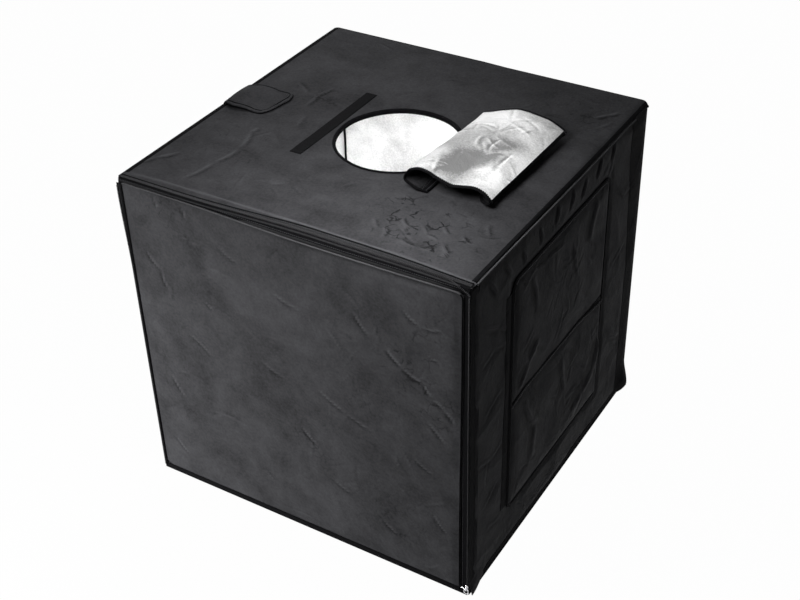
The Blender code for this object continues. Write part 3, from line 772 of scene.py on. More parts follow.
def lining_finish(name, dull, bright, metallic, grit=0.22):
    """Silver coated lining: crinkled like foil, duller where it is rubbed, with a fine embossed grain, and lighter and
    darker by the fold attribute as painted highlight and painted shade.
    """
    finish = new_finish(name, bright, 0.36, metallic=metallic, specular=0.3)
    place = coordinates(finish)
    patches = between(finish, noise(finish, place, 12, 3, 0.5, distortion=0.3), 0.36, 0.64, 0.25, 1)
    specks = between(finish, noise(finish, place, 330, 2, 0.7), 0.34, 0.66, -grit, grit)
    # Painted light: the fold attribute lightens as painted highlight and darkens as painted shade.
    painted_shading = kept_value(finish, "fold")
    total = maths(finish, "ADD", patches, specks)
    total = maths(finish, "ADD", total, between(finish, painted_shading, -1, 1, -0.7, 0.7))
    link(finish, tinted(finish, total, dull, bright), "Base Color")
    link(finish, between(finish, patches, 0, 1, 0.5, 0.3), "Roughness")
    crinkles = noise(finish, place, 46, 4, 0.55, "RIDGED_MULTIFRACTAL", 0.5)
    grain = add_node(finish, "ShaderNodeTexVoronoi", {"Vector": place, "Scale": 420}).outputs[0]
    bump(finish, [(crinkles, 1.3 * MM), (noise(finish, place, 170, 3), 0.9 * MM), (grain, 0.3 * MM)])
    return finish


def tape_finish(name, colour, light):
    """Woven tape: ribs of a fine weave, with a little lint."""
    finish = new_finish(name, colour, 0.7, specular=0.012)
    place, flat = coordinates(finish), coordinates(finish, "UV")
    lint = noise(finish, place, 210, 4, 0.7)
    paint(finish, lint, colour, 0.7, light)
    bump(finish, [(noise(finish, place, 120, 3), 0.3 * MM), (weave(finish, flat, 0.9 * MM, math.pi / 4), 0.10 * MM)])
    return finish


def pile_finish(name, colour):
    """Hook and loop pile: dense rough loops."""
    finish = new_finish(name, colour, 0.9, specular=0.01)
    place = coordinates(finish)
    loops = add_node(finish, "ShaderNodeTexVoronoi", {"Vector": place, "Scale": 900}).outputs[0]
    lint = noise(finish, place, 500, 4, 0.7)
    paint(finish, lint, colour, 0.6, 2.2)
    bump(finish, [(lint, 0.5 * MM), (loops, 0.6 * MM)])
    return finish


def thread_finish(name, colour):
    """Twisted sewing thread: slanted fine waves."""
    finish = new_finish(name, colour, 0.6, specular=0.05)
    place = coordinates(finish)
    paint(finish, noise(finish, place, 300, 2), colour, 0.7, 1.5)
    bump(finish, [(noise(finish, place, 1400, 2), 0.15 * MM)])
    return finish


def nylon_finish(name, colour):
    """Moulded nylon teeth: a smooth skin with a slight haze."""
    finish = new_finish(name, colour, 0.45, specular=0.08)
    place = coordinates(finish)
    haze = noise(finish, place, 400, 3)
    paint(finish, haze, colour, 0.8, 1.4)
    link(finish, between(finish, haze, 0.3, 0.7, 0.4, 0.55), "Roughness")
    bump(finish, [(haze, 0.05 * MM)])
    return finish


def metal_finish(name, colour, roughness, brushed=False):
    """Plated or anodised metal: faint brushing along Y, and a few duller patches."""
    finish = new_finish(name, colour, roughness, metallic=1.0)
    place = coordinates(finish)
    stretch = (1, 0.02 if brushed else 1, 1)
    drawn = add_node(finish, "ShaderNodeMapping", {"Vector": place, "Scale": stretch}).outputs[0]
    streaks = noise(finish, drawn, 1500 if brushed else 500, 3)
    patches = noise(finish, place, 90, 3)
    paint(finish, patches, colour, 0.86, 1.08)
    link(finish, between(finish, streaks, 0.3, 0.7, roughness * 0.75, roughness * 1.35), "Roughness")
    bump(finish, [(streaks, 0.02 * MM)])
    return finish


def plastic_finish(name, colour, roughness, grain=0.06):
    """Moulded plastic: a fine spark-eroded grain."""
    finish = new_finish(name, colour, roughness, specular=0.45)
    place = coordinates(finish)
    specks = noise(finish, place, 900, 3)
    patches = noise(finish, place, 26, 3)
    paint(finish, patches, colour, 0.88, 1.1)
    link(finish, between(finish, specks, 0.3, 0.7, roughness * 0.85, roughness * 1.15), "Roughness")
    bump(finish, [(specks, grain * MM)])
    return finish


def glowing_finish(name, colour, strength):
    """Frosted plastic that gives light evenly, a little less towards fine frosting grains."""
    finish = plastic_finish(name, colour, 0.6, 0.03)
    shader = finish.node_tree.nodes["Principled BSDF"]
    frost = noise(finish, coordinates(finish), 120, 2)
    link(finish, tinted(finish, frost, toned(colour, 0.93), colour), "Emission Color")
    shader.inputs["Emission Strength"].default_value = strength
    return finish


class TENT_OT_finishes(bpy.types.Operator):
    """Make the materials of every piece, and give the hollow board to the CAD nodes that had the panel board's material
    """

    bl_idname = "tent.finishes"
    bl_label = "Finishes"

    def execute(self, context):
        tone = colours()
        cloth_finish("oxford_cloth", tone.cloth)
        lining_finish("silver_foil_lining", toned(tone.lining, 0.64), toned(tone.lining, 1.16), 0.55)
        lining_finish("flap_foil_lining", toned(tone.lining, 0.26), toned(tone.lining, 1.2), 0.5, 0.13)
        tape_finish("bias_binding", tone.binding, 2.2)
        tape_finish("piping_cord", tone.cord, 1.5)
        tape_finish("edge_tape", tone.edge, 1.6)
        # The piping made 4.2 times lighter: painted highlight on the pocket's cords and cross seam, where they face the
        # light.
        tape_finish("side_cord", toned(tone.cord, 4.2), 1.4)
        tape_finish("zip_tape_weave", tone.tape, 2.4)
        pile_finish("hook_loop_pile", tone.pile)
        thread_finish("sewing_thread", tone.thread)
        nylon_finish("coil_nylon", (0.040, 0.040, 0.042))
        metal_finish("nickel_plate", (0.72, 0.72, 0.74), 0.18)
        metal_finish("satin_aluminium", (0.75, 0.76, 0.78), 0.34, brushed=True)
        plastic_finish("cap_plastic", (0.05, 0.05, 0.05), 0.5)
        plastic_finish("hollow_board", (0.62, 0.60, 0.56), 0.6, 0.12)
        plastic_finish("led_board", (0.90, 0.89, 0.84), 0.45)
        plastic_finish("phosphor", (0.90, 0.72, 0.20), 0.35)
        glowing_finish("frosted_diffuser", (0.92, 0.92, 0.90), 6.0)
        for node in frame["nodes"].values():
            if node.data.materials[0].name == "panel_board":
                node.data.materials[0] = bpy.data.materials["hollow_board"]
        return {"FINISHED"}


# Base.


def wall_rows():
    """Heights of a side wall's rows: a cloth step apart, and close together where the wall folds."""
    step = sizes().cloth_step
    return np.concatenate([
        spaced(WALL_BOTTOM, FOLD_HEIGHT - 11 * MM, step)[:-1],
        spaced(FOLD_HEIGHT - 11 * MM, FOLD_HEIGHT + 11 * MM, 1.4 * MM),
        spaced(FOLD_HEIGHT + 11 * MM, WALL_TOP, step)[1:],
    ])


def bend_at_fold(piece, side=1):
    """Bends a wall piece between its lower and its upper half, over 6 mm to each side of the fold."""
    half = "right" if side > 0 else "left"
    start, end = (0, 0, FOLD_HEIGHT - 6 * MM), (0, 0, FOLD_HEIGHT + 6 * MM)
    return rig.blend(piece, f"{half}_lower", f"{half}_upper", start=start, end=end)


class TENT_OT_base(bpy.types.Operator):
    """Make the base's cloth, lining and edge piping"""

    bl_idname = "tent.base"
    bl_label = "Base"

    def execute(self, context):
        below, above = box_of("base_cover")
        u, v = np.meshgrid(spaced(below[0], above[0], 8 * MM), spaced(-above[1], -below[1], 8 * MM))
        face, back = lay(u, v, 0, (0, 0, below[2]), X, -Y), lay(u, v, 0, (0, 0, above[2]), X, -Y)
        make = dict(body="base", slot="black_fabric", replaces=["base_cover"], flat_back=True)
        cloth = closed_sheet("base_cloth", face, back, u, v, "oxford_cloth", **make)
        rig.sheet(cloth, flat=(0.600, 0.598), held="laid", rests_on=["base_board"])

        below, above = box_of("base_lining")
        u, v = np.meshgrid(spaced(-0.2945, 0.2945, 4 * MM), spaced(-0.2965, 0.2970, 4 * MM))
        crinkle = 0.35 * MM * (1 + swells(u, v, 31 * MM, 5)) * edge_fade(u, v, 12 * MM)
        face = lay(u, v, crinkle, (0, 0, above[2]), X, Y)
        back = lay(u, v, 0, (0, 0, below[2]), X, Y)
        make = dict(body="base", slot="silver_lining", replaces=["base_lining"], flat_back=True)
        lining = closed_sheet("base_silver", face, back, u, v, "silver_foil_lining", **make)
        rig.sheet(lining, flat=(0.589, 0.5935), held="laid", rests_on=["base_board"])

        radius, corner = sizes().piping_radius, 7 * MM
        half, front, rear = HALF_WIDTH + 0.6 * MM, WALL_FRONT - 0.4 * MM, REAR + 0.6 * MM
        turn = np.linspace(0, math.pi / 2, 7)
        corners = [(half, front, 0), (half, rear, 1), (-half, rear, 2), (-half, front, 3)]
        loop = []
        for x, y, quarter in corners:
            centre = np.array([x - math.copysign(corner, x), y - math.copysign(corner, y)])
            angle = turn + (quarter - 1) * math.pi / 2
            loop.append(centre + corner * np.stack([np.cos(angle), np.sin(angle)], -1))
        loop, runs = np.concatenate(loop), []
        for a, b in zip(loop, np.roll(loop, -1, 0)):
            steps = max(2, int(np.hypot(*(b - a)) / (12 * MM)))
            runs.append(a + (b - a) * np.linspace(0, 1, steps)[:-1, None])
        path = points_at(*np.concatenate(runs).T, 2.4 * MM)
        binding("base_piping", path, Z, section(10, 2 * radius, 2 * radius), body="base", closed=True)
        return {"FINISHED"}


def floor_binding(name, side):
    """A woven band from the base up onto a side wall: a thin strip along Y, bent at the base's hinge."""
    u, v = np.meshgrid(spaced(WALL_FRONT, REAR - 1 * MM, 6 * MM), spaced(1.2 * MM, 15 * MM, 1.4 * MM))
    lift = 0.15 * MM * swells(u, v, 30 * MM, 60 + side)
    x, across = side * (HALF_WIDTH + 0.15 * MM), side * Y
    face = lay(side * u, v, 0.9 * MM + lift, (x, 0, 0), across, Z)
    back = lay(side * u, v, 0, (x, 0, 0), across, Z)
    if side < 0:
        face, back, u, v = face[:, ::-1], back[:, ::-1], u[:, ::-1], v[:, ::-1]
    band = closed_sheet(name, face, back, u, v, "bias_binding", slot="black_binding")
    half = "right" if side > 0 else "left"
    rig.blend(band, "base", f"{half}_lower", start=(0, 0, 3.5 * MM), end=(0, 0, 8 * MM))
    return band


# Rear wall.


class TENT_OT_rear(bpy.types.Operator):
    """Make the rear wall's cloth, lining and edge trim, which crumple down as the tent folds"""

    bl_idname = "tent.rear"
    bl_label = "Rear wall"

    def execute(self, context):
        step = sizes().cloth_step
        bottom, top = low("rear_cover")[2], high("rear_cover")[2]
        press = dict(joint="fold", axis=(0, 0, 1), anchor=(0, 0, bottom), keep=0.166)
        u, v = np.meshgrid(spaced(-0.2996, 0.2996, step), spaced(bottom, top, step))
        marks = stray_folds(71, 46, (-0.27, 0.27), (0.03, 0.55), 70 * MM, 1.0 * MM, 2.4 * MM)
        fade = edge_fade(u, v, 22 * MM)
        sharp = creases(u, v, marks) * fade
        height = slack_cloth(u, v, 31) * fade + sharp
        face = lay(u, v, np.maximum(height, 0), (0, REAR, 0), -X, Z)
        back = lay(u, v, 0, (0, REAR - 0.7 * MM, 0), -X, Z)
        make = dict(slot="black_fabric", replaces=["rear_cover"], body="base", flat_back=True, fold=sharp / (1.4 * MM))
        cloth = closed_sheet("rear_cloth", face, back, u, v, "oxford_cloth", **make)
        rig.squash(cloth, **press)
        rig.sheet(cloth, flat=(0.600, 0.576), held="stretched", rests_on=["base_board", "top_board"])

        u, v = np.meshgrid(spaced(-0.2944, 0.2944, 4 * MM), spaced(bottom, top, 4 * MM))
        marks = stray_folds(72, 40, (-0.27, 0.27), (0.03, 0.55), 60 * MM, 0.2 * MM, 2.2 * MM)
        crinkle = 0.12 * MM * (1 + swells(u, v, 37 * MM, 8)) + creases(u, v, marks)
        face = lay(u, v, np.maximum(crinkle * edge_fade(u, v, 12 * MM), 0), (0, low("rear_lining")[1], 0), X, Z)
        back = lay(u, v, 0, (0, high("rear_lining")[1], 0), X, Z)
        make = dict(slot="silver_lining", replaces=["rear_lining"], body="base", flat_back=True)
        lining = closed_sheet("rear_silver", face, back, u, v, "silver_foil_lining", **make)
        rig.squash(lining, **press)
        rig.sheet(lining, flat=(0.589, 0.576), held="stretched", rests_on=["base_board", "top_board"])
        rows = spaced(bottom, top, 4 * MM)
        for side, name in SIDES:
            path = points_at(side * 0.2930 + 0.4 * MM * np.sin(rows * 90), low("rear_lining")[1] - 0.9 * MM, rows)
            trim = binding(f"rear_corner_binding_{name}", path, -Y, section(8, 5 * MM, 1.4 * MM, 0.6), body="base")
            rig.squash(trim, **press)
            path = points_at(side * 0.2990, REAR - 1.1 * MM, rows)
            cord = binding(f"rear_edge_cord_{name}", path, -Y, section(8, 1.9 * MM, 2.2 * MM), body="base")
            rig.squash(cord, **press)
        path = points_at(spaced(-0.2996, 0.2996, 8 * MM), REAR + 0.9 * MM, 9 * MM)
        binding("rear_floor_binding", path, Y, section(8, 13 * MM, 1.0 * MM, 0.5), body="base")
        return {"FINISHED"}


# Side walls.


WALL_REAR = 297.3 * MM  # the side walls' cloth stops here, clear of the rear wall as it gathers

# Named creases beside the pocket and in it, in millimetres along Y and up.
WALL_FOLDS = [
    ([(-262, 500), (-214, 470), (-190, 452)], 1.6, 3.0, 2), ([(-270, 430), (-226, 441), (-196, 428)], 1.2, 2.5),
    ([(-258, 330), (-205, 352)], 1.5, 3.0, -3), ([(-275, 250), (-232, 236), (-200, 244)], 1.3, 2.6),
    ([(-262, 150), (-212, 176)], 1.6, 3.2, 3), ([(-240, 96), (-196, 84)], 1.3, 2.8),
    ([(-150, 562), (-136, 534)], 2.2, 2.8), ([(-92, 570), (-84, 536)], 2.0, 2.8),
    ([(-32, 572), (-42, 540)], 2.4, 3.0), ([(19, 570), (6, 538)], 2.2, 2.8), ([(66, 564), (48, 536)], 2.4, 3.0),
    ([(123, 572), (106, 540)], 2.6, 3.2, 2), ([(176, 578), (160, 540), (166, 500)], 2.2, 3.4, 3),
    ([(-250, 568), (-226, 534)], 2.0, 3.0), ([(-205, 570), (-182, 540)], 1.9, 2.8),
    ([(190, 480), (222, 452), (262, 460)], 1.3, 2.8), ([(186, 330), (240, 352)], 1.4, 3.0),
    ([(190, 180), (250, 150)], 1.5, 3.0),
]
POCKET_FOLDS = [
    ([(146, 60), (149, 290)], 2.2, 6), ([(146, 300), (148, 530)], 1.8, 6),
    ([(160, 215), (133, 149), (90, 131), (50, 112)], 3.2, 9, 3), ([(-90, 366), (-121, 343), (-146, 306)], 2.6, 6, 3),
    ([(-120, 500), (-100, 430)], 1.8, 5, -3), ([(110, 505), (84, 440)], 2.4, 7, 4),
    ([(-130, 270), (-90, 200), (-96, 130)], 1.8, 6, 4), ([(20, 480), (46, 400)], 1.6, 4, 3),
    ([(0, 270), (20, 190)], 1.7, 5, 3),
]


def skirt(y, z):
    """How far the right wall's loose lower corners stand out: eased up from 45 mm above the floor, near each end."""
    front = ease((-0.235 - y) / 0.062) * ease((0.036 - z) / 0.034) * 6.5 * MM
    rear = ease((y - 0.245) / 0.050) * ease((0.062 - z) / 0.056) * 8.5 * MM
    return front + rear


def wall_relief(y, z, side):
    """Heights of a side wall's cloth. On the right it has the folds that show beside the pocket."""
    marks = [stray_folds(80 + side, 44, (-0.27, 0.28), (0.03, 0.55), 60 * MM, 1.0 * MM, 2.3 * MM)]
    if side > 0:
        marks.append(named_folds(WALL_FOLDS))
    inside = np.minimum(np.minimum(y - WALL_FRONT, 0.2986 - y), np.minimum(z - WALL_BOTTOM, WALL_TOP - z))
    sharp = creases(y, z, np.concatenate(marks)) * ease(inside / (14 * MM))
    height = np.maximum(slack_cloth(y, z, 40 + side) * ease(inside / (20 * MM)) + sharp, 0)
    if side > 0:
        front, rear = low("pocket_lower")[1], high("pocket_lower")[1]
        bottom, top = low("pocket_lower")[2], high("pocket_upper")[2]
        outside = np.maximum(np.maximum(front - y, y - rear), np.maximum(bottom - z, z - top))
        height = height * ease((outside - 3 * MM) / (12 * MM))
    return height, sharp / (1.4 * MM)


def corner_slant(side):
    """Across and up for zip teeth at a front corner, both turned by 45 degrees."""
    return unit(side * X + Y), unit(side * X - Y)


class TENT_OT_walls(bpy.types.Operator):
    """Make the side walls' cloth, lining and edge bands, which bend inwards at half height"""

    bl_idname = "tent.walls"
    bl_label = "Side walls"

    def execute(self, context):
        step, rows = sizes().cloth_step, wall_rows()
        for side, name in SIDES:
            y, z = np.meshgrid(side * spaced(side * WALL_FRONT, side * WALL_REAR, step), rows)
            height, sharp = wall_relief(y, z, side)
            drop = 0 * z
            if side > 0:
                height = height + skirt(y, z)
                drop = -4 * MM * ease((0.03 - z) / 0.03) * ease(skirt(y, 0 * z) / (7 * MM))
            face = lay(side * y, z + drop, height, (side * HALF_WIDTH, 0, 0), side * Y, Z)
            inner = (side * (HALF_WIDTH - 1.1 * MM), 0, 0)
            back = lay(side * y, z + drop, skirt(y, z) * (side > 0), inner, side * Y, Z)
            covers = [f"{name}_lower_cover", f"{name}_upper_cover"]
            make = dict(slot="black_fabric", replaces=covers, flat_back=side < 0, fold=sharp)
            cloth = bend_at_fold(closed_sheet(f"{name}_cloth", face, back, y, z, "oxford_cloth", **make), side)
            boards = [f"{name}_lower_board", f"{name}_upper_board"]
            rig.sheet(cloth, flat=(0.597, 0.5755), held="stretched", rests_on=boards)

            y, z = np.meshgrid(side * spaced(side * 0.2966, side * WALL_FRONT, 4 * MM), rows)
            crinkle = 0.6 * MM * (1 + swells(y, z, 35 * MM, 9 + side)) * edge_fade(y, z, 12 * MM)
            x_in, x_out = HALF_WIDTH - 5.1 * MM, HALF_WIDTH - 4.3 * MM
            face = lay(-side * y, z, crinkle, (side * x_in, 0, 0), -side * Y, Z)
            back = lay(-side * y, z, 0, (side * x_out, 0, 0), -side * Y, Z)
            linings = [f"{name}_lower_lining", f"{name}_upper_lining"]
            make = dict(slot="silver_lining", replaces=linings, flat_back=True)
            lining = closed_sheet(f"{name}_silver", face, back, y, z, "silver_foil_lining", **make)
            lining = bend_at_fold(lining, side)
            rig.sheet(lining, flat=(0.594, 0.5755), held="stretched", rests_on=boards)
            floor_binding(f"{name}_floor_binding", side)

            share, z = np.meshgrid(np.linspace(0, 1, 15), rows)
            y = WALL_REAR - 0.1 * MM - (1 - share) * (44 + 18 * ease((z - 0.28) / 0.28) if side > 0 else 26) * MM
            bulge = (0.4 + 0.5 * np.sin(math.pi * share)) * MM
            height = wall_relief(y, z, side)[0] + skirt(y, z) * (side > 0) + bulge
            y, z, height = (grid[:, ::side] for grid in (y, z, height))
            outer = (side * HALF_WIDTH, 0, 0)
            face, back = (lay(side * y, z, height - thick, outer, side * Y, Z) for thick in (0, 0.9 * MM))
            band = closed_sheet(f"{name}_rear_edge_band", face, back, y, z, "bias_binding", slot="black_binding")
            bend_at_fold(band, side)
        return {"FINISHED"}


class TENT_OT_wall_zips(bpy.types.Operator):
    """Make the zip tapes, half chains, seams and hems on the side walls' front edges"""

    bl_idname = "tent.wall_zips"
    bl_label = "Wall zips"

    def execute(self, context):
        rows = wall_rows()
        for side, name in SIDES:
            outward = side * X
            wave = 0.35 * MM * swells(rows, 0 * rows, 26 * MM, 90 + side)
            centre = low(f"{name}_lower_zip")[1] + 9.1 * MM
            path = points_at(side * (HALF_WIDTH + 0.9 * MM + 0.3 * wave), centre + 0.3 * wave, rows)
            make = dict(slot="zip_tape", replaces=[f"{name}_lower_zip", f"{name}_upper_zip"])
            profile = section(16, 22 * MM, 1.1 * MM, 0.45)
            bend_at_fold(run_along(f"{name}_wall_tape", path, outward, profile, "zip_tape_weave", **make), side)
            low_rows = rows[rows < WALL_TOP - (8 if side > 0 else 0) * MM]
            chain = points_at(side * (HALF_WIDTH + 1.2 * MM), -0.2990, low_rows)
            bend_at_fold(teeth(f"{name}_wall_teeth", chain, *corner_slant(side)), side)
            for number, offset in enumerate((4.6, 8.2)):
                seam = path + np.array([side * 0.55 * MM, offset * MM, 0])
                bend_at_fold(stitches(f"{name}_wall_seam_{number + 1}", seam, outward), side)
            ridge = points_at(side * (HALF_WIDTH + 1.0 * MM), WALL_FRONT + 22.6 * MM + wave, rows)
            profile = section(8, 3.4 * MM, 1.9 * MM, 0.8)
            hem = run_along(f"{name}_wall_hem", ridge, outward, profile, "oxford_cloth", slot="black_fabric")
            bend_at_fold(hem, side)
        return {"FINISHED"}


class TENT_OT_pocket(bpy.types.Operator):
    """Make the large flat pocket on the right wall: two halves, a bound outline, cords and a cross seam"""

    bl_idname = "tent.pocket"
    bl_label = "Pocket"

    def execute(self, context):
        front, rear = low("pocket_lower")[1], high("pocket_lower")[1]
        bottom, top = low("pocket_lower")[2], high("pocket_upper")[2]
        step, corner = 3 * MM, 17 * MM
        halves = (
            ("pocket_lower", "right_lower", bottom, FOLD_HEIGHT - 1.2 * MM, 21),
            ("pocket_upper", "right_upper", FOLD_HEIGHT + 1.2 * MM, top, 22),
        )
        for node, body, z0, z1, seed in halves:
            share, z = np.meshgrid(np.linspace(0, 1, 112), spaced(z0, z1, step))
            outer = (z - z0 if node == "pocket_lower" else z1 - z) / corner
            pull = corner * (1 - np.sqrt(np.clip(1 - np.clip(1 - outer, 0, 1) ** 2, 0, 1)))
            y = front + pull + share * (rear - front - 2 * pull)
            fold_side = np.abs(z - FOLD_HEIGHT)
            sewn_side = np.abs(z - (z0 if node == "pocket_lower" else z1))
            inside = np.minimum(np.minimum(y - front, rear - y), np.minimum(sewn_side, fold_side))
            marks = np.concatenate([
                stray_folds(seed, 34, (front + 0.02, rear - 0.02), (z0 + 0.01, z1 - 0.01), 70 * MM, 1.3 * MM, 2.6 * MM),
                named_folds(POCKET_FOLDS),
            ])
            puff = 2.2 * MM * ease(inside / (30 * MM)) * ease(fold_side / (60 * MM))
            sharp = creases(y, z, marks) * ease(inside / (14 * MM))
            loose = 0.8 * slack_cloth(y, z, seed) * ease(inside / (14 * MM))
            height = 1.0 * MM + puff + loose + np.maximum(sharp, -0.5 * MM)
            face, back = (lay(y, z, h, (HALF_WIDTH + 0.3 * MM, 0, 0), Y, Z) for h in (height, 0))
            make = dict(slot="black_fabric", replaces=[node], body=body, flat_back=True, fold=sharp / (1.4 * MM))
            cloth = closed_sheet(f"{node}_cloth", face, back, y, z, "oxford_cloth", **make)
            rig.sheet(cloth, flat=(rear - front, z1 - z0), held="laid", rests_on=["right_cloth"])
        rise = np.concatenate([
            spaced(bottom + corner, FOLD_HEIGHT - 9 * MM, 4 * MM)[:-1],
            spaced(FOLD_HEIGHT - 9 * MM, FOLD_HEIGHT + 9 * MM, 1.5 * MM),
            spaced(FOLD_HEIGHT + 9 * MM, top - corner, 4 * MM)[1:],
        ])
        arc = np.linspace(0, math.pi / 2, 7)[1:-1]
        cosine, sine = corner * np.cos(arc), corner * np.sin(arc)
        inner_f, inner_r, inner_b, inner_t = front + corner, rear - corner, bottom + corner, top - corner
        along = spaced(inner_f, inner_r, 6 * MM)
        y, z = np.concatenate([
            (rear + 0 * rise, rise), (inner_r + cosine, inner_t + sine),
            (along[::-1], top + 0 * along), (inner_f - sine, inner_t + cosine),
            (front + 0 * rise, rise[::-1]), (inner_f - cosine, inner_b - sine),
            (along, bottom + 0 * along), (inner_r + sine, inner_b - cosine),
        ], 1)
        loop = points_at(HALF_WIDTH + 1.5 * MM, y, z)
        bend_at_fold(binding("pocket_binding", loop, X, section(10, 7.5 * MM, 2.4 * MM, 0.6), closed=True))
        start, stop = len(rise) + len(arc), 2 * (len(rise) + len(arc)) + len(along)
        inset = points_at(1.5 * MM, 1.6 * MM * (y < inner_f), -1.2 * MM * (z > inner_t))
        turned = start + len(along) + len(arc) // 2
        spans = (("edge", start, turned + 1, "side_cord"), ("front", turned, stop, "piping_cord"))
        for name, first, last, finish in spans:
            path, profile = (loop + inset)[first:last], section(8, 2.4 * MM, 1.9 * MM)
            bend_at_fold(run_along(f"pocket_{name}_cord", path, X, profile, finish, slot="black_binding"))
        # A black band on the wall in front of the pocket's front edge, rising towards it: painted shade beside the
        # pocket's bulging front.
        rows = wall_rows()
        share, z = np.meshgrid(np.linspace(0, 1, 8), rows[(rows > bottom + 12 * MM) & (rows < top - 12 * MM)])
        y = front - 21 * MM + 20 * MM * share
        lift = (0.5 + 1.6 * share**2) * MM + wall_relief(y, z, 1)[0]
        face, back = (lay(y, z, h, (HALF_WIDTH, 0, 0), Y, Z) for h in (lift, 0))
        bend_at_fold(closed_sheet("pocket_side_band", face, back, y, z, "bias_binding", slot="black_binding"))
        from_middle = loop[:, 1] - (front + rear) / 2
        inwards = points_at(1.15 * MM, -np.sign(from_middle) * 2 * MM * (np.abs(from_middle) > 0.15), 0)
        seam = loop + inwards
        bend_at_fold(stitches("pocket_seam_thread", np.concatenate([seam, seam[:1]]), X))
        # A black band under the cross seam, with the lighter cord on it: painted shade on either side of the seam and
        # painted highlight along it.
        y = spaced(front + 2 * MM, rear - 2 * MM, 5 * MM)
        tilt = np.interp(y, [-0.174, -0.130, 0.059, 0.158], [0.2900, 0.2975, 0.2960, 0.2815])
        path = points_at(HALF_WIDTH + 2.2 * MM, y, tilt)
        bend_at_fold(binding("pocket_cross_band", path, X, section(10, 8.5 * MM, 1.8 * MM, 0.6)))
        path, profile = path + 1.4 * MM * X, section(8, 2.8 * MM, 2.2 * MM)
        bend_at_fold(run_along("pocket_cross_seam", path, X, profile, "side_cord", slot="black_binding"))
        return {"FINISHED"}


# Top.


# Lines along the front edge, given at the places EDGE_X: the cloth's ridge and hem, the zip's chain, the grey fold in
# front of it, and how far the door's top edge rises.
EDGE_X = np.array([-300, -270, -225, -149, -66, 17, 182, 247, 300]) * MM
RIDGE_Y = np.array([-286, -280, -279, -277, -276, -275.5, -277, -281, -286]) * MM
HEM_Y = np.array([-293, -293, -293, -292.5, -287, -280, -282, -286, -290]) * MM
CHAIN_Y = np.array([-296.6, -296.6, -296.6, -296.6, -293.6, -290.3, -293, -294.5, -296.6]) * MM
GREY_Y = np.array([-301.2, -301.2, -301.2, -301.0, -300.2, -298.6, -299.4, -299.8, -300.8]) * MM
GREY_Z = np.array([582.5, 582.8, 583, 583.5, 586.5, 588.0, 587.6, 587.2, 585.5]) * MM
DOOR_RISE = np.array([6, 6, 6, 5.5, 2.5, 0, 0.5, 2, 2]) * MM
ROLL_ANGLE = math.radians(80)  # how far the top's cloth goes round its right edge

# Crumpled patches and named creases of the top, in millimetres along X and Y.
TOP_CRUSH = [
    (165, -195, 52, 1.0), (215, -228, 40, 0.8), (118, -165, 26, 0.6), (-215, -150, 60, 0.2), (225, 190, 60, 0.3),
    (-180, 60, 50, 0.15),
]
TOP_FOLDS = [
    ([(-304, -255), (-286, -226), (-265, -199)], 1.1, 2.6, 2),
    ([(-211, -258), (-198, -197), (-190, -144), (-206, -91), (-205, -76)], 0.9, 2.6, 3),
    ([(-181, 21), (-183, 64), (-175, 97)], 0.8, 2.4, 2), ([(248, 207), (262, 222), (274, 239)], 1.4, 2.4, 2),
    ([(136, -190), (156, -208), (158, -226)], -0.9, 2.2, 3),
    ([(170, -196), (186, -214), (206, -218)], -0.8, 2.0, -2), ([(196, -180), (216, -200)], -0.8, 2.0, 2),
    ([(160, -240), (190, -246), (214, -238)], -0.8, 2.2, 3), ([(220, -222), (236, -240), (238, -256)], -1.0, 2.2, 2),
    ([(126, -222), (140, -250)], -0.7, 2.2, -2), ([(232, -190), (250, -206)], -0.7, 2.0, 2),
    ([(100, -212), (118, -232)], -0.6, 2.2), ([(252, -150), (268, -178)], -0.8, 2.2, 2),
]


def front_edge(x, line):
    """One of the front edge's lines at x, from the points above it, joined and smoothed over 50 mm."""
    return sum(np.interp(x + shift * MM, EDGE_X, line) for shift in (-25, 0, 25)) / 3


def top_crush(x, y):
    """How crumpled the top's cloth is: most between the flap's mouth and the front right corner."""
    return 0.05 + spots(x, y, TOP_CRUSH)


def top_relief(x, y):
    """Heights of the top's cloth: slack, the named creases, a turned hem along the front, and little under the flap.
    Its
    second value is the fold attribute: painted highlight on the creases' ridges and the hem's ridge, and painted shade
    in the hollows.
    """
    marks = np.concatenate([
        named_folds(TOP_FOLDS),
        stray_folds(51, 46, (-0.27, 0.27), (-0.25, 0.27), 46 * MM, 0.7 * MM, 2.0 * MM),
    ])
    sharp = creases(x, y, marks)
    height = 0.6 * slack_cloth(x, y, 50) + sharp
    from_hole = np.hypot(x - HOLE_X, y - HOLE_Y) - HOLE_RADIUS
    rim = np.minimum(0.3 - np.abs(x), 0.3 - y)
    near_hole = 0.42 + 0.58 * ease((from_hole - 20 * MM) / (60 * MM))
    fade = ease(from_hole / (16 * MM)) * ease(rim / (16 * MM)) * near_hole
    ridge_y, hem_y = front_edge(x, RIDGE_Y), front_edge(x, HEM_Y)
    behind_hem = ease((y - ridge_y + 1 * MM) / (12 * MM))
    hem = 0.7 * MM * ease((y - hem_y) / (1.2 * MM)) * ease((ridge_y + 3 * MM - y) / (4 * MM))
    ridge = np.exp(-(((y - ridge_y) / (2.0 * MM)) ** 2))
    lifted = np.clip(height * fade, 0, 3.2 * MM) * behind_hem + hem + 1.0 * MM * ridge
    return lifted, sharp * fade * behind_hem / (1.4 * MM) + 0.9 * ridge


def roll_radius(y):
    """How softly the top's cloth rounds over its right edge: tight at the front and wide at the rear."""
    return (1.6 + 7.6 * ease((y + 0.30) / 0.42)) * MM


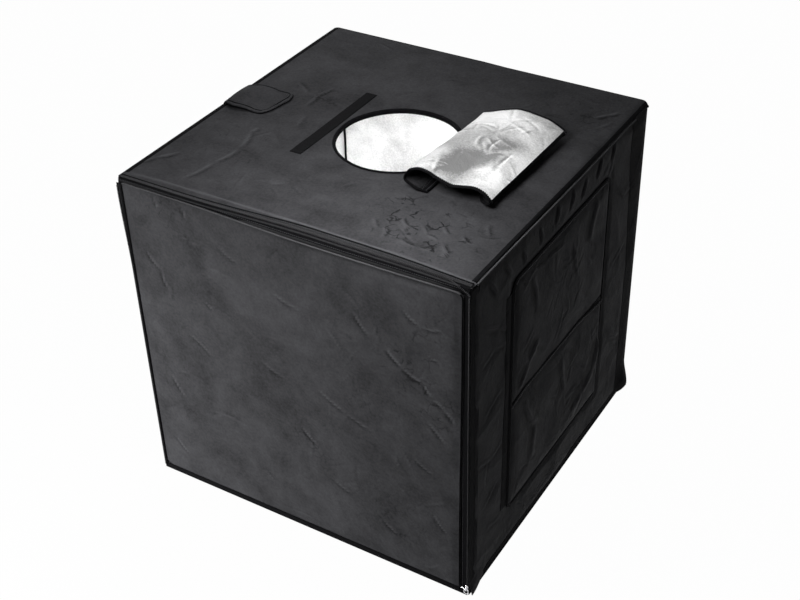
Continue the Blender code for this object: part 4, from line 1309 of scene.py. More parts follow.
def over_edge(x, y, h):
    """Points of the top's cloth: flat up to a roll's radius from the right edge, then round it."""
    radius = roll_radius(y)
    start = HALF_WIDTH - radius
    angle = np.clip((x - start) / radius, 0, None)
    rolled = angle > 0
    px = np.where(rolled, start + (radius + h) * np.sin(angle), x)
    pz = np.where(rolled, TOP_FACE - radius + (radius + h) * np.cos(angle), TOP_FACE + h)
    return points_at(px, y, pz)


def rectangle_round(x0, x1, y0, y1, step):
    """Points round a rectangle from its lower left corner, turning left."""
    bottom = [(x, y0) for x in spaced(x0, x1, step)[:-1]]
    right = [(x1, y) for y in spaced(y0, y1, step)[:-1]]
    top = [(x, y1) for x in spaced(x1, x0, step)[:-1]]
    left = [(x0, y) for y in spaced(y1, y0, step)[:-1]]
    return np.array(bottom + right + top + left)


def holed_sheet(name, outline, place, thickness, row_step, finish, fold=None, crush=None, **keys):
    """A closed cloth with a round hole: rows go from the hole's rim out to the outline, columns round the hole."""
    turn = np.arctan2(outline[:, 1] - HOLE_Y, outline[:, 0] - HOLE_X)
    rim = np.stack([HOLE_X + HOLE_RADIUS * np.cos(turn), HOLE_Y + HOLE_RADIUS * np.sin(turn)], -1)
    share = np.linspace(0, 1, int(0.25 / row_step))[:, None, None]
    flat = rim[None] * (1 - share) + outline[None] * share
    face, back = place(flat[..., 0], flat[..., 1], 0.0), place(flat[..., 0], flat[..., 1], -thickness)
    rows, columns = face.shape[:2]
    kept = np.concatenate([[0], np.arange(int(rows * 0.86), rows)])
    back = back[kept]
    points = np.concatenate([face.reshape(-1, 3), back.reshape(-1, 3)])
    uv = np.concatenate([flat.reshape(-1, 2), flat[kept].reshape(-1, 2)])
    front = grid_faces(rows, columns, around=True)
    behind = grid_faces(len(kept), columns, around=True, first=rows * columns)[:, ::-1]
    first = np.arange(columns)
    following = np.roll(first, -1)
    bottom = rows * columns
    inner = np.stack([following, first, first + bottom, following + bottom], -1)
    out_face, out_back = (rows - 1) * columns, bottom + (len(kept) - 1) * columns
    outer = np.stack([first + out_face, following + out_face, following + out_back, first + out_back], -1)
    faces = np.concatenate([front, behind, inner, outer]).tolist()
    for key, shade in (("fold", fold), ("crush", crush)):
        if shade is not None:
            values = shade(flat[..., 0], flat[..., 1])
            keys[key] = np.concatenate([values.ravel(), np.zeros(len(kept) * columns)])
    return make_piece(name, points, faces, finish, uv=uv, **keys)


class TENT_OT_top(bpy.types.Operator):
    """Make the top's cloth, with its hole and its rounded right edge, and its lining"""

    bl_idname = "tent.top"
    bl_label = "Top"

    def execute(self, context):
        front, rear = low("top_cover")[1], high("top_cover")[1]
        outline = rectangle_round(-HALF_WIDTH, HALF_WIDTH, front, rear, 4.4 * MM)
        limit = HALF_WIDTH - roll_radius(outline[:, 1]) * (1 - ROLL_ANGLE)
        outline[:, 0] = -HALF_WIDTH + (outline[:, 0] + HALF_WIDTH) / (2 * HALF_WIDTH) * (limit + HALF_WIDTH)

        def place(x, y, h):
            """The cloth's face with its relief, or its underside."""
            return over_edge(x, y, top_relief(x, y)[0] if h == 0 else h + 0 * x)

        make = dict(
            slot="black_fabric", replaces=["top_cover"], body="top",
            fold=lambda x, y: top_relief(x, y)[1], crush=top_crush,
        )
        cloth = holed_sheet("top_cloth", outline, place, 1.1 * MM, 3.6 * MM, "oxford_cloth", **make)
        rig.sheet(cloth, flat=(0.604, 0.598), held="stretched", rests_on=["top_board"], area=0.33)

        bottom, above = box_of("top_board")

        def board(x, y, h):
            """The board's two flat sides."""
            return points_at(x, y, above[2] if h == 0 else bottom[2])

        outline = rectangle_round(bottom[0], above[0] - 8.5 * MM, bottom[1], above[1], 8 * MM)
        make = dict(slot="panel_board", replaces=["top_board"], body="top")
        holed_sheet("top_stiff_board", outline, board, 1.0, 16 * MM, "hollow_board", **make)

        bottom, above = low("top_lining")[2], high("top_lining")[2]
        low_x, low_y = low("top_lining")[0] + 5 * MM, low("top_lining")[1]
        high_x, high_y = high("top_lining")[0] - 9 * MM, high("top_lining")[1]

        def under(x, y, h):
            """The lining's underside with its crinkles, or its flat upper side."""
            crinkle = 0.25 * MM * (1 + swells(x, y, 33 * MM, 12))
            return points_at(x, y, bottom - crinkle if h == 0 else above)

        make = dict(slot="silver_lining", replaces=["top_lining"], body="top")
        outline = rectangle_round(low_x, high_x, low_y, high_y, 5 * MM)
        lining = holed_sheet("top_silver", outline, under, 1.0, 5 * MM, "silver_foil_lining", **make)
        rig.sheet(lining, flat=(high_x - low_x, high_y - low_y), held="stretched", rests_on=["top_board"], area=0.32)
        return {"FINISHED"}


class TENT_OT_top_trim(bpy.types.Operator):
    """Make the top's piping, hole binding, loop strip, zip tape, half chain, corner patches, and flap and tab roots"""

    bl_idname = "tent.top_trim"
    bl_label = "Top trim"

    def execute(self, context):
        radius = sizes().piping_radius
        front, rear = low("top_cover")[1], high("top_cover")[1]
        y = spaced(front + 2 * MM, rear - 5 * MM, 6 * MM)
        turn = np.linspace(0, math.pi / 2, 7)[1:-1]
        drop = roll_radius(y) * (1 - math.cos(ROLL_ANGLE))
        edge, height = HALF_WIDTH + 1.2 * MM, high("top_piping")[2] - 1.4 * MM
        x = spaced(-edge + 6 * MM, edge - 6 * MM, 8 * MM)
        end_z = TOP_FACE - drop[-1] - 1 * MM
        path = np.concatenate([
            points_at(-edge, y, height),
            points_at(-edge + 6 * MM * (1 - np.cos(turn)), rear - 5 * MM + 6 * MM * np.sin(turn), height),
            points_at(x, rear + 1 * MM, np.interp(x, [0, edge], [height, end_z])),
            points_at(edge - 6 * MM * (1 - np.sin(turn)), rear - 5 * MM + 6 * MM * np.cos(turn), end_z),
        ])
        profile = section(10, 2.4 * radius, 2 * radius)
        binding("top_edge_piping", path, Z, profile, replaces=["top_piping"], body="top")
        path = points_at(edge + 0.3 * MM, y, TOP_FACE - drop - 1.0 * MM)[(y > front + 11 * MM) & (y < rear - 52 * MM)]
        profile = section(10, 2.1 * radius, 2.1 * radius)
        run_along("top_right_piping", path, Z, profile, "piping_cord", slot="black_binding", body="top")
        for side, name, wide in ((-1, "left", 6 * MM), (1, "right", 7.5 * MM)):
            share, y = np.meshgrid(np.linspace(0, 1, 7), spaced(front + 14 * MM, rear - 3 * MM, 5 * MM))
            outer = HALF_WIDTH - roll_radius(y) * (1 - ROLL_ANGLE) - 0.6 * MM if side > 0 else HALF_WIDTH + 0 * y
            x = side * (outer - wide * (1 - share if side > 0 else share))
            height = top_relief(x, y)[0] + 0.7 * MM * np.sin(math.pi * share) ** 0.5
            face, back = over_edge(x, y, height), over_edge(x, y, height - 0.6 * MM)
            make = dict(slot="black_binding", body="top")
            closed_sheet(f"top_{name}_welt", face, back, x, y, "bias_binding", **make)

        turn = np.linspace(0, 2 * math.pi, 181)[:-1]
        wave = 0.12 * MM * np.sin(turn * 61) + 0.2 * MM * np.sin(turn * 7)
        reach = 100.1 * MM + wave
        ring = points_at(HOLE_X + reach * np.cos(turn), HOLE_Y + reach * np.sin(turn), 583.6 * MM)
        make = dict(replaces=["hole_binding"], body="top", closed=True)
        binding("hole_edge_binding", ring, Z, section(16, 5.6 * MM, 8.4 * MM, 0.7), **make)
        reach = 104.6 * MM
        ring = points_at(HOLE_X + reach * np.cos(turn), HOLE_Y + reach * np.sin(turn), TOP_FACE + 0.3 * MM)
        stitches("hole_seam_thread", np.concatenate([ring, ring[:1]]), Z, body="top")

        below, above = box_of("loop_strip")
        u, v = np.meshgrid(spaced(below[0], above[0], 1.5 * MM), spaced(below[1], above[1], 2 * MM))
        pile = 1.5 * MM * edge_fade(u, v, 1.6 * MM) + 0.15 * MM * swells(u, v, 2.2 * MM, 14)
        under = top_relief(u, v)[0]
        face = lay(u, v, pile + under, (0, 0, TOP_FACE + 0.1 * MM), X, Y)
        back = lay(u, v, under - 0.1 * MM, (0, 0, TOP_FACE), X, Y)
        make = dict(slot="hook_and_loop", replaces=["loop_strip"], body="top")
        strip = closed_sheet("loop_strip_pile", face, back, u, v, "hook_loop_pile", **make)
        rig.sheet(strip, flat=(above[0] - below[0], above[1] - below[1]), held="laid", rests_on=["top_cloth"])

        x, share = np.meshgrid(spaced(-0.2985, 0.2985, 4 * MM), np.linspace(0, 1, 8))
        chain_y, hem_y = front_edge(x, CHAIN_Y), front_edge(x, HEM_Y)
        y = chain_y + 0.6 * MM + share * (hem_y - chain_y)
        lift = (1.1 + 0.5 * np.sin(math.pi * share) + 0.2 * swells(x, y, 24 * MM, 15)) * MM
        face, back = points_at(x, y, TOP_FACE + lift), points_at(x, y, TOP_FACE + 0.3 * MM)
        closed_sheet("top_zip_tape", face, back, x, y, "edge_tape", slot="zip_tape", replaces=["top_zip"], body="top")
        x = spaced(-0.2985, 0.2985, 4 * MM)
        chain_y, hem_y = front_edge(x, CHAIN_Y), front_edge(x, HEM_Y)
        # A thin black strip along the hem, at the tape's inner edge: painted shade of the groove between the hem and
        # the tape.
        path = points_at(x, hem_y + 0.9 * MM, TOP_FACE + 1.2 * MM)
        binding("top_hem_edge", path, Z, section(10, 3.0 * MM, 1.3 * MM, 0.7), body="top")
        stitches("top_zip_seam", points_at(x, (hem_y * 2 + chain_y) / 3, TOP_FACE + 1.7 * MM), Z, body="top")
        x = spaced(-0.2975, 0.270, 4 * MM)
        chain = points_at(x, front_edge(x, CHAIN_Y) + 1.0 * MM, TOP_FACE + 1.9 * MM)
        teeth("top_zip_teeth", chain, Y, Z, body="top")

        for side, name in SIDES:
            u, v = np.meshgrid(spaced(-299.2 * MM, -288 * MM, 2 * MM)[::side], spaced(575 * MM, 584 * MM, 2 * MM))
            origin, make = (side * HALF_WIDTH, 0, 0), dict(slot="zip_tape", body="top")
            face, back = (lay(side * u, v, h, origin, side * Y, Z) for h in (0.4 * MM, -0.8 * MM))
            closed_sheet(f"top_{name}_corner_patch", face, back, u, v, "zip_tape_weave", **make)

        below, above = box_of("flap_hem")
        y = spaced(below[1], above[1], 3 * MM)
        path = points_at((below[0] + above[0]) / 2, y, (below[2] + above[2]) / 2 + 0.2 * MM)
        profile = section(14, above[0] - below[0] + 1 * MM, 4.6 * MM, 0.6)
        binding("flap_hem_binding", path, Z, profile, replaces=["flap_hem"], body="top")
        for number, offset in enumerate((-3.2, 3.4)):
            stitches(f"flap_hem_seam_{number + 1}", path + np.array([offset * MM, 0, 2.35 * MM]), Z, body="top")

        below, above = box_of("tab_root")
        y = spaced(below[1], above[1], 3 * MM)
        path = points_at((below[0] + above[0]) / 2, y, (below[2] + above[2]) / 2)
        profile = section(10, above[0] - below[0], 1.2 * MM, 0.5)
        binding("tab_root_band", path, Z, profile, replaces=["tab_root"], body="top")
        return {"FINISHED"}


# Light bars.


class TENT_OT_lights(bpy.types.Operator):
    """Finish the two light bars under the top, and add their LEDs"""

    bl_idname = "tent.lights"
    bl_label = "Light bars"

    def execute(self, context):
        parts = {
            "channel": "satin_aluminium", "leds": "led_board", "diffuser": "frosted_diffuser",
            "front_cap": "cap_plastic", "rear_cap": "cap_plastic",
        }
        for side in ("left", "right"):
            for part, finish in parts.items():
                frame["nodes"][f"light_{side}_{part}"].data.materials[0] = bpy.data.materials[finish]
            below, above = box_of(f"light_{side}_leds")
            y = spaced(below[1] + 8 * MM, above[1] - 8 * MM, 11 * MM)
            places = points_at((below[0] + above[0]) / 2, y, below[2] - 0.35 * MM)
            shape, faces = lozenge(3.5 * MM, 2.8 * MM, 0.8 * MM, 0.8)
            make = dict(slot="led_strip", body="top", sharp=True)
            repeat(f"light_{side}_chips", shape, faces, places, Y, X, -Z, "phosphor", **make)
        return {"FINISHED"}


# Door.


HALF_FRONT = 299 * MM  # half the length of the strips that go right across the front

# Crumpled patches and named creases of the door, in millimetres along X and up.
DOOR_CRUSH = [
    (200, 430, 60, 0.25), (250, 360, 50, 0.3), (120, 300, 60, 0.15), (20, 210, 50, 0.2), (-225, 550, 50, 0.2),
    (-240, 210, 50, 0.15), (160, 90, 50, 0.2), (230, 510, 50, 0.2), (250, 120, 60, 0.15),
]
DOOR_FOLDS = [
    ([(167, 439), (193, 415), (229, 398), (241, 379)], 1.9, 3.0, 2), ([(236, 453), (256, 446)], 1.6, 2.0, 1),
    ([(41, 313), (92, 287), (137, 272)], 1.2, 2.4, 2), ([(241, 374), (262, 362), (277, 342)], 1.8, 3.0, -3),
    ([(5, 226), (33, 199)], 1.4, 2.6, 2), ([(114, 483), (140, 453)], 1.4, 2.6, 2),
    ([(-158, 407), (-144, 394)], 1.2, 2.2, 1), ([(-250, 229), (-227, 187)], 1.3, 2.4, 2),
    ([(-232, 572), (-226, 552)], 1.3, 2.2), ([(-180, 570), (-174, 548)], 1.2, 2.2),
    ([(150, 95), (178, 75)], 1.3, 2.4, 2), ([(-262, 470), (-236, 440), (-226, 404)], 1.2, 2.6, 3),
    ([(-120, 520), (-86, 500)], 1.0, 2.4, 2), ([(196, 520), (226, 500), (258, 506)], 1.5, 2.6, 3),
    ([(232, 330), (262, 300)], 1.4, 2.6, -2), ([(-60, 330), (-20, 312)], 1.0, 2.6, 2),
    ([(210, 250), (242, 232)], 1.2, 2.4, 2), ([(-200, 330), (-160, 300)], 1.0, 2.8, -2),
    ([(60, 140), (96, 122)], 1.1, 2.4, 2), ([(-30, 470), (22, 452)], 1.0, 2.8, 3),
    ([(-262, 90), (-236, 60)], 1.3, 2.4, 2), ([(240, 150), (268, 118)], 1.4, 2.4, 2),
]


def door_widening(x, z):
    """How far the door's right edge stands further out: eased from nought low down to 3.8 mm near its top."""
    return 3.8 * MM * ease((z - 0.08) / 0.46) * ease((x - 0.14) / 0.13)


class TENT_OT_door(bpy.types.Operator):
    """Make the front door's cloth, lining, piping and floor binding"""

    bl_idname = "tent.door"
    bl_label = "Door"

    def execute(self, context):
        below, above = box_of("door_panel")
        corner, half, middle = 9 * MM, above[0] + 4.9 * MM, -4.9 * MM
        step = sizes().cloth_step
        share, z = np.meshgrid(np.linspace(-1, 1, int(2 * half / step)), spaced(below[2], above[2], step))
        rise = np.clip(z - (above[2] - corner), 0, corner)
        x = middle + share * (half - corner + np.sqrt(corner**2 - rise**2))
        x = x + door_widening(x, z)
        inside = np.minimum(np.minimum(half * (1 - np.abs(share)), above[2] - z), z - below[2])
        z = z + front_edge(x, DOOR_RISE) * ease((z - above[2] + 50 * MM) / (50 * MM))
        stray = stray_folds(61, 50, (-0.27, 0.27), (0.03, 0.55), 70 * MM, 0.7 * MM, 2.2 * MM)
        marks = np.concatenate([named_folds(DOOR_FOLDS), stray])
        marks[:, 4:6] *= (0.62, 0.74)
        sharp = creases(x, z, marks) * ease(inside / (8 * MM))
        height = np.maximum(1.15 * slack_cloth(x, z, 60) * ease(inside / (18 * MM)) + sharp, 0)
        face = lay(x, z, height - 0.8 * MM * ease((below[2] + 14 * MM - z) / (9 * MM)), (0, DOOR_FACE, 0), X, Z)
        back = lay(x, z, 0, (0, above[1], 0), X, Z)
        make = dict(
            slot="black_fabric", replaces=["door_panel"], body="door", flat_back=True,
            fold=sharp / (1.1 * MM), crush=spots(x, z, DOOR_CRUSH),
        )
        cloth = closed_sheet("door_cloth", face, back, x, z, "oxford_cloth", **make)
        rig.sheet(cloth, flat=(2 * half, above[2] - below[2]), held="hung", rests_on=["door_lining"])

        below, above = box_of("door_lining")
        x, z = np.meshgrid(spaced(above[0], below[0], 4 * MM), spaced(below[2], above[2], 4 * MM))
        crinkle = 0.5 * MM * (1 + swells(x, z, 34 * MM, 62)) * edge_fade(x, z, 14 * MM)
        face = lay(-x, z, crinkle, (0, above[1], 0), -X, Z)
        back = lay(-x, z, 0, (0, below[1], 0), -X, Z)
        make = dict(slot="silver_lining", replaces=["door_lining"], body="door", flat_back=True)
        lining = closed_sheet("door_silver", face, back, x, z, "silver_foil_lining", **make)
        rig.sheet(lining, flat=(above[0] - below[0], above[2] - below[2]), held="hung", rests_on=["door_panel"])

        below, above = box_of("door_piping")
        edge, crown = half - 1.3 * MM, above[2] - 1.3 * MM
        z = spaced(below[2] + 2 * MM, crown - corner, 6 * MM)
        turn = np.linspace(0, math.pi / 2, 8)[1:-1]
        x = spaced(-edge + corner, edge - corner, 8 * MM)
        across, tall = np.concatenate([
            (-edge + 0 * z, z),
            (-edge + corner * (1 - np.cos(turn)), crown - corner + corner * np.sin(turn)),
            (x, crown + 0 * x),
            (edge - corner * (1 - np.sin(turn)), crown - corner + corner * np.cos(turn)),
            (edge + 0 * z, z[::-1]),
        ], 1)
        across = across + middle
        wave = 0.3 * MM * swells(across, tall, 40 * MM, 63) + door_widening(across, tall)
        tall = tall + front_edge(across, DOOR_RISE) * ease((tall - above[2] + 50 * MM) / (50 * MM))
        path = points_at(across + wave, below[1] + 1.3 * MM, tall)
        make = dict(slot="black_binding", replaces=["door_piping"], body="door")
        bend = len(z) + len(turn)
        profile = section(10, 2.4 * MM, 2.4 * MM)
        run_along("door_edge_piping", path[bend - 3 : 3 - bend], -Y, profile, "piping_cord", **make)
        binding("door_left_piping", path[: bend - 2], -Y, section(10, 1.9 * MM, 2.2 * MM), body="door")
        binding("door_right_piping", path[2 - bend :], -Y, section(10, 1.9 * MM, 2.2 * MM), body="door")
        path = points_at(spaced(-HALF_FRONT, HALF_FRONT, 6 * MM), DOOR_FACE - 0.5 * MM, 7.2 * MM)
        band = binding("door_floor_binding", path, -Y, section(14, 11 * MM, 1.2 * MM, 0.5))
        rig.blend(band, "base", "door", start=(0, 0, 3.6 * MM), end=(0, 0, 9 * MM))
        return {"FINISHED"}


class TENT_OT_door_zips(bpy.types.Operator):
    """Make the door's zip tapes, corner tapes and rounded top strip, its half chains and its seams"""

    bl_idname = "tent.door_zips"
    bl_label = "Door zips"

    def execute(self, context):
        below, above = box_of("door_zip_left")
        z = spaced(below[2] + 7.5 * MM, above[2], 4 * MM)
        for side, name in SIDES:
            flare = (5.0 * MM if side < 0 else 0) * ease((z - 0.40) / 0.16)
            share, row = np.meshgrid(np.linspace(0, 1, 7)[::side], np.arange(len(z)))
            inner, outer = 286.6 * MM, HALF_WIDTH + 0.5 * MM + flare[row]
            column = side * (inner + share * (outer - inner))
            hollow = 0.25 * MM * np.sin(math.pi * share) - 0.12 * MM * swells(column, z[row], 28 * MM, 64 + side)
            front = below[1] + 0.1 * MM - hollow
            face, back = points_at(column, front, z[row]), points_at(column, front + 1.0 * MM, z[row])
            make = dict(slot="zip_tape", replaces=[f"door_zip_{name}"], body="door")
            closed_sheet(f"door_{name}_tape", face, back, column, z[row], "zip_tape_weave", **make)
            stitches(f"door_{name}_seam", points_at(side * 0.2903, below[1] - 0.2 * MM, z), -Y, body="door")
            rows = z[z < WALL_TOP - 8 * MM]
            chain_x = side * (HALF_WIDTH - 0.6 * MM + flare[: len(rows)])
            chain = points_at(chain_x, -0.3006, rows + sizes().tooth_pitch / 2)
            teeth(f"door_{name}_teeth", chain, *corner_slant(side), body="door")

        for side, name in SIDES:
            u, v = np.meshgrid(spaced(-17 * MM, 17 * MM, 2 * MM), spaced(-16 * MM, 6 * MM, 2 * MM))
            u = np.where(u * side > 0, u * (9 + 8.3 * ease((v + 1 * MM) / MM)) / 17, u)
            centre = (side * 0.2822, low("door_panel")[1] + 1.5 * MM, above[2])
            face, back = lay(u, v, 0, centre, X, Z), lay(u, v, -0.7 * MM, centre, X, Z)
            make = dict(slot="zip_tape", body="door")
            closed_sheet(f"door_{name}_corner_tape", face, back, u, v, "zip_tape_weave", **make)

        foot, end = box_of("door_zip_top")
        radius, roof = 2.4 * MM, TOP_FACE + 0.9 * MM
        rise = spaced(foot[2], roof - radius, 1.5 * MM)
        turn = np.linspace(0, math.pi / 2, 8)[1:-1]
        across = spaced(DOOR_FACE - 0.4 * MM + radius, end[1] - 0.6 * MM, 1.5 * MM)
        front = DOOR_FACE - 0.4 * MM
        profile = np.concatenate([
            (front + 0 * rise, rise),
            (front + radius * (1 - np.cos(turn)), roof - radius + radius * np.sin(turn)),
            (across, roof + 0 * across),
        ], 1).T
        normal = unit(np.gradient(profile, axis=0))[:, ::-1] * np.array([-1, 1])
        x = spaced(-HALF_FRONT, HALF_FRONT, 4 * MM)
        column, row = np.meshgrid(x, np.arange(len(profile)))
        lift = 0.3 * MM * (1 + swells(column, row * 1.5 * MM, 26 * MM, 67))
        line, out = profile[row], normal[row]
        shoulder, ridge_y = roof - radius, DOOR_FACE - 0.4 * MM + radius
        climb = (line[..., 1] - foot[2]) / (shoulder - foot[2])
        depth = (line[..., 0] - ridge_y) / (end[1] - 0.6 * MM - ridge_y)
        reach = np.maximum(front_edge(column, CHAIN_Y) - 0.6 * MM, ridge_y + 0.8 * MM)
        climbed = foot[2] + front_edge(column, DOOR_RISE) * (1 - climb) + climb * (shoulder - foot[2])
        y = np.where(row >= len(profile) - len(across), ridge_y + depth * (reach - ridge_y), line[..., 0])
        z = np.where(row < len(rise), climbed, line[..., 1])
        lift = lift * (1 - (np.abs(column) / HALF_FRONT) ** 24)
        face, back = (points_at(column, y + out[..., 0] * h, z + out[..., 1] * h) for h in (lift, -0.9 * MM))
        make = dict(slot="zip_tape", replaces=["door_zip_top"], body="door")
        closed_sheet("door_top_strip", face, back, column, row * 1.5 * MM, "zip_tape_weave", **make)
        x = spaced(-0.2975, 0.258, 4 * MM)
        corner = np.array([
            (270, -297.6, 588.2), (280, -300.4, 586.4), (289, -301.3, 583.0), (295.8, -301.3, 579.0),
            (299.4, -300.9, 574.6),
        ]) * MM
        chain = np.concatenate([points_at(x, front_edge(x, CHAIN_Y) - 1.0 * MM, TOP_FACE + 2.1 * MM), corner])
        corner_tilts = [(0, -0.5, 1), (0, -1, 0.8), (0.2, -1, 0.4), (0.5, -1, 0.2), (0.8, -1, 0)]
        tilts = np.concatenate([np.broadcast_to(Z, (len(x), 3)), corner_tilts])
        teeth("door_top_teeth", chain, None, tilts, body="door")
        make = dict(slot="zip_tape", body="door")
        x = spaced(-0.2960, 0.285, 4 * MM)
        line, profile = points_at(x, front_edge(x, GREY_Y), front_edge(x, GREY_Z)), section(8, 2.6 * MM, 1.6 * MM, 0.8)
        run_along("door_top_fold", line, unit(Z - Y), profile, "edge_tape", **make)
        x = spaced(-0.09, 0.280, 4 * MM)
        thin = np.clip(np.minimum(x + 0.09, 0.280 - x) / 0.03, 0.12, 1)
        line = points_at(x, front - 0.35 * MM, 577.9 * MM + 0.5 * front_edge(x, DOOR_RISE))
        run_along("door_top_band", line, -Y, section(8, 4.4 * MM, 1.0 * MM, 0.7), "edge_tape", swell=thin, **make)
        x = spaced(-0.2960, 0.285, 4 * MM)
        seam = points_at(x, front - 0.40 * MM, 582.6 * MM + 0.2 * front_edge(x, DOOR_RISE))
        stitches("door_front_seam", seam, -Y, body="door")
        return {"FINISHED"}


class TENT_OT_slider(bpy.types.Operator):
    """Make the metal zip slider, with its bridge, and its wire ring pull"""

    bl_idname = "tent.slider"
    bl_label = "Slider"

    def execute(self, context):
        below, above = box_of("zip_slider")
        middle = (below[0] + above[0]) / 2
        ring_below, ring_above = box_of("ring_pull")
        bore = np.array([middle, (ring_below[1] + ring_above[1]) / 2, ring_above[2] - 0.6 * MM])
        z = np.linspace(below[2], above[2], 25)
        share = (z - below[2]) / (above[2] - below[2])
        wide = 0.74 + 0.26 * ease((share - 0.35) / 0.4)
        round_off = np.sqrt(np.clip(1 - (2 * share - 1) ** 6, 0.02, 1))
        plate = section(20, above[0] - below[0], 1.3 * MM, 0.55)
        path, swell = points_at(middle, above[1] - 0.85 * MM, z), wide * round_off
        make = dict(replaces=["zip_slider"], slot="zip_metal", body="slider")
        front = run_along("slider_front_plate", path, -Y, plate, "nickel_plate", swell=swell, **make)
        smooth = front.modifiers.new("Smooth", "SUBSURF")
        smooth.levels = smooth.render_levels = 1
        make = dict(slot="zip_metal", body="slider")
        path = points_at(middle - 0.3 * MM, above[1] + 2.1 * MM, z)
        run_along("slider_back_plate", path, -Y, plate, "nickel_plate", swell=swell * 0.92, **make)
        z = np.linspace(above[2] - 4.0 * MM, above[2] - 0.8 * MM, 7)
        path = points_at(middle, above[1] + 0.6 * MM, z)
        run_along("slider_post", path, -Y, section(10, 1.2 * MM, 3.2 * MM, 0.6), "nickel_plate", **make)
        turn = np.linspace(-math.pi / 2, math.pi / 2, 19)
        reach = above[1] - 1.2 * MM - below[1] - 0.75 * MM
        path = points_at(middle, above[1] - 1.2 * MM - reach * np.cos(turn), bore[2] + 3.2 * MM * np.sin(turn))
        run_along("slider_bridge", path, X, section(12, 1.3 * MM, 2.0 * MM, 0.7), "nickel_plate", **make)

        half, wire = (ring_above[0] - ring_below[0]) / 2 - 0.6 * MM, 0.6 * MM
        drop, corner = ring_above[2] - ring_below[2] - 1.2 * MM, 2.2 * MM
        turn = np.linspace(0, math.pi / 2, 9)
        centres = [
            (half - corner, -corner), (-half + corner, -corner), (-half + corner, -drop + corner),
            (half - corner, -drop + corner),
        ]
        x, z = np.concatenate([
            (a + corner * np.cos(turn + k * math.pi / 2), b + corner * np.sin(turn + k * math.pi / 2))
            for k, (a, b) in enumerate(centres)
        ], 1)
        path = points_at(middle + x, bore[1], bore[2] + z)
        make = dict(slot="zip_metal", body="pull", closed=True, replaces=["ring_pull"])
        run_along("pull_ring_wire", path, -Y, section(12, 2 * wire, 2 * wire), "nickel_plate", **make)
        return {"FINISHED"}


# Cover flap. Its shape is two profiles, at its near and its far edge, in millimetres along X and above the top.


NEAR_PROFILE = np.array([
    (119, 3.9), (109, 6.5), (104.5, 8.4), (95, 13.8), (94, 20), (97, 26), (103, 33), (117, 38.5), (132, 37.5),
    (145, 32.5), (160, 28), (173, 26), (190, 29), (207, 32), (220, 29.5), (228.5, 24), (234, 15), (228, 9.6),
    (215, 7.2), (204, 5.2),
])
FAR_PROFILE = np.array([
    (119, 3.9), (110, 5.2), (104.5, 6.8), (98.5, 9.6), (98, 13.2), (100.5, 16), (112, 19.5), (125, 24.5), (138, 29),
    (150, 33), (162, 35.5), (175, 35.5), (189, 34), (203, 32), (215, 29.5), (229, 23.5), (240, 17.5), (239.5, 14.2),
    (231, 11.8), (220, 8.8),
])
FLAP_LAST = 19  # the number of the profiles' last point, at the free end
FLAP_STEP = 12 * MM  # cloth from one number to the next, near enough for its creases
# The numbers at which the flap is cut into spans, and each span's hinge: its two bodies, and where its bend starts
# and ends.
FLAP_CUTS = (0, 2, 5, 10, 15.7, 18, FLAP_LAST)
FLAP_HINGES = (
    ("top", "flap_strip_1", (0.1195, 0, 0), (0.1098, 0, 0)),
    ("flap_strip_1", "flap_strip_2", (0, 0, TOP_FACE + 9 * MM), (0, 0, TOP_FACE + 13 * MM)),
    ("flap_strip_2", "flap_strip_3", (0.1032, 0, 0), (0.1220, 0, 0)),
    ("flap_strip_3", "flap_strip_4", (0.1980, 0, 0), (0.2215, 0, 0)),
    ("flap_strip_4", "flap_strip_5", (0, 0, TOP_FACE + 17 * MM), (0, 0, TOP_FACE + 7 * MM)),
)
FLAP_NEAR, FLAP_FAR = low("flap_hem")[1], high("flap_hem")[1]
FLAP_CORNER = 40 * MM  # radius of the free end's rounded corners
# Round spots of painted shade (strength below nought) and painted highlight (above it) on the flap's foil: each its
# place in millimetres along Y and along the flap, its radius and its strength.
FLAP_SHADE = [
    (-80, 118, 30, -0.9), (-38, 132, 30, -0.9), (8, 150, 28, -0.6), (-60, 150, 22, 0.6), (-20, 118, 20, 0.4),
    (70, 118, 44, 0.4), (-78, 178, 40, 0.4),
]


def through(points, t):
    """A smooth line through evenly numbered points: Catmull-Rom, cubic between each two."""
    padded = np.concatenate([2 * points[:1] - points[1:2], points, 2 * points[-1:] - points[-2:-1]])
    index = np.clip(np.floor(t).astype(int), 0, len(points) - 2)
    s = (t - index)[..., None]
    a, b, c, d = (padded[index + k] for k in range(4))
    return 0.5 * (2 * b + (c - a) * s + (2 * a - 5 * b + 4 * c - d) * s**2 + (3 * b - a - 3 * c + d) * s**3)


def flap_reach():
    """Distance from the free end, along the middle of the flap, at fine steps of the profile's number."""
    t = np.linspace(0, len(NEAR_PROFILE) - 1, 800)
    line = through((NEAR_PROFILE + FAR_PROFILE) / 2, t) * MM
    length = np.concatenate([[0], np.linalg.norm(np.diff(line, axis=0), axis=1).cumsum()])
    return t, length[-1] - length


def flap_sides(t):
    """The near and far edges' Y at each profile number: straight, and rounded by a quarter circle at the free end."""
    numbers, left = flap_reach()
    remaining = np.interp(t, numbers, left)
    short = np.clip(FLAP_CORNER - remaining, 0, FLAP_CORNER)
    pull = FLAP_CORNER - np.sqrt(FLAP_CORNER**2 - short**2)
    return FLAP_NEAR + pull, FLAP_FAR - pull


def flap_surface(t, share):
    """Points of the flap, and their Y: the two profiles mixed by Y."""
    near_y, far_y = flap_sides(t)
    y = near_y + share * (far_y - near_y)
    mix = ease((y - FLAP_NEAR) / (FLAP_FAR - FLAP_NEAR))[..., None]
    line = (through(NEAR_PROFILE, t) * (1 - mix) + through(FAR_PROFILE, t) * mix) * MM
    return points_at(line[..., 0], y, line[..., 1] + TOP_FACE), y


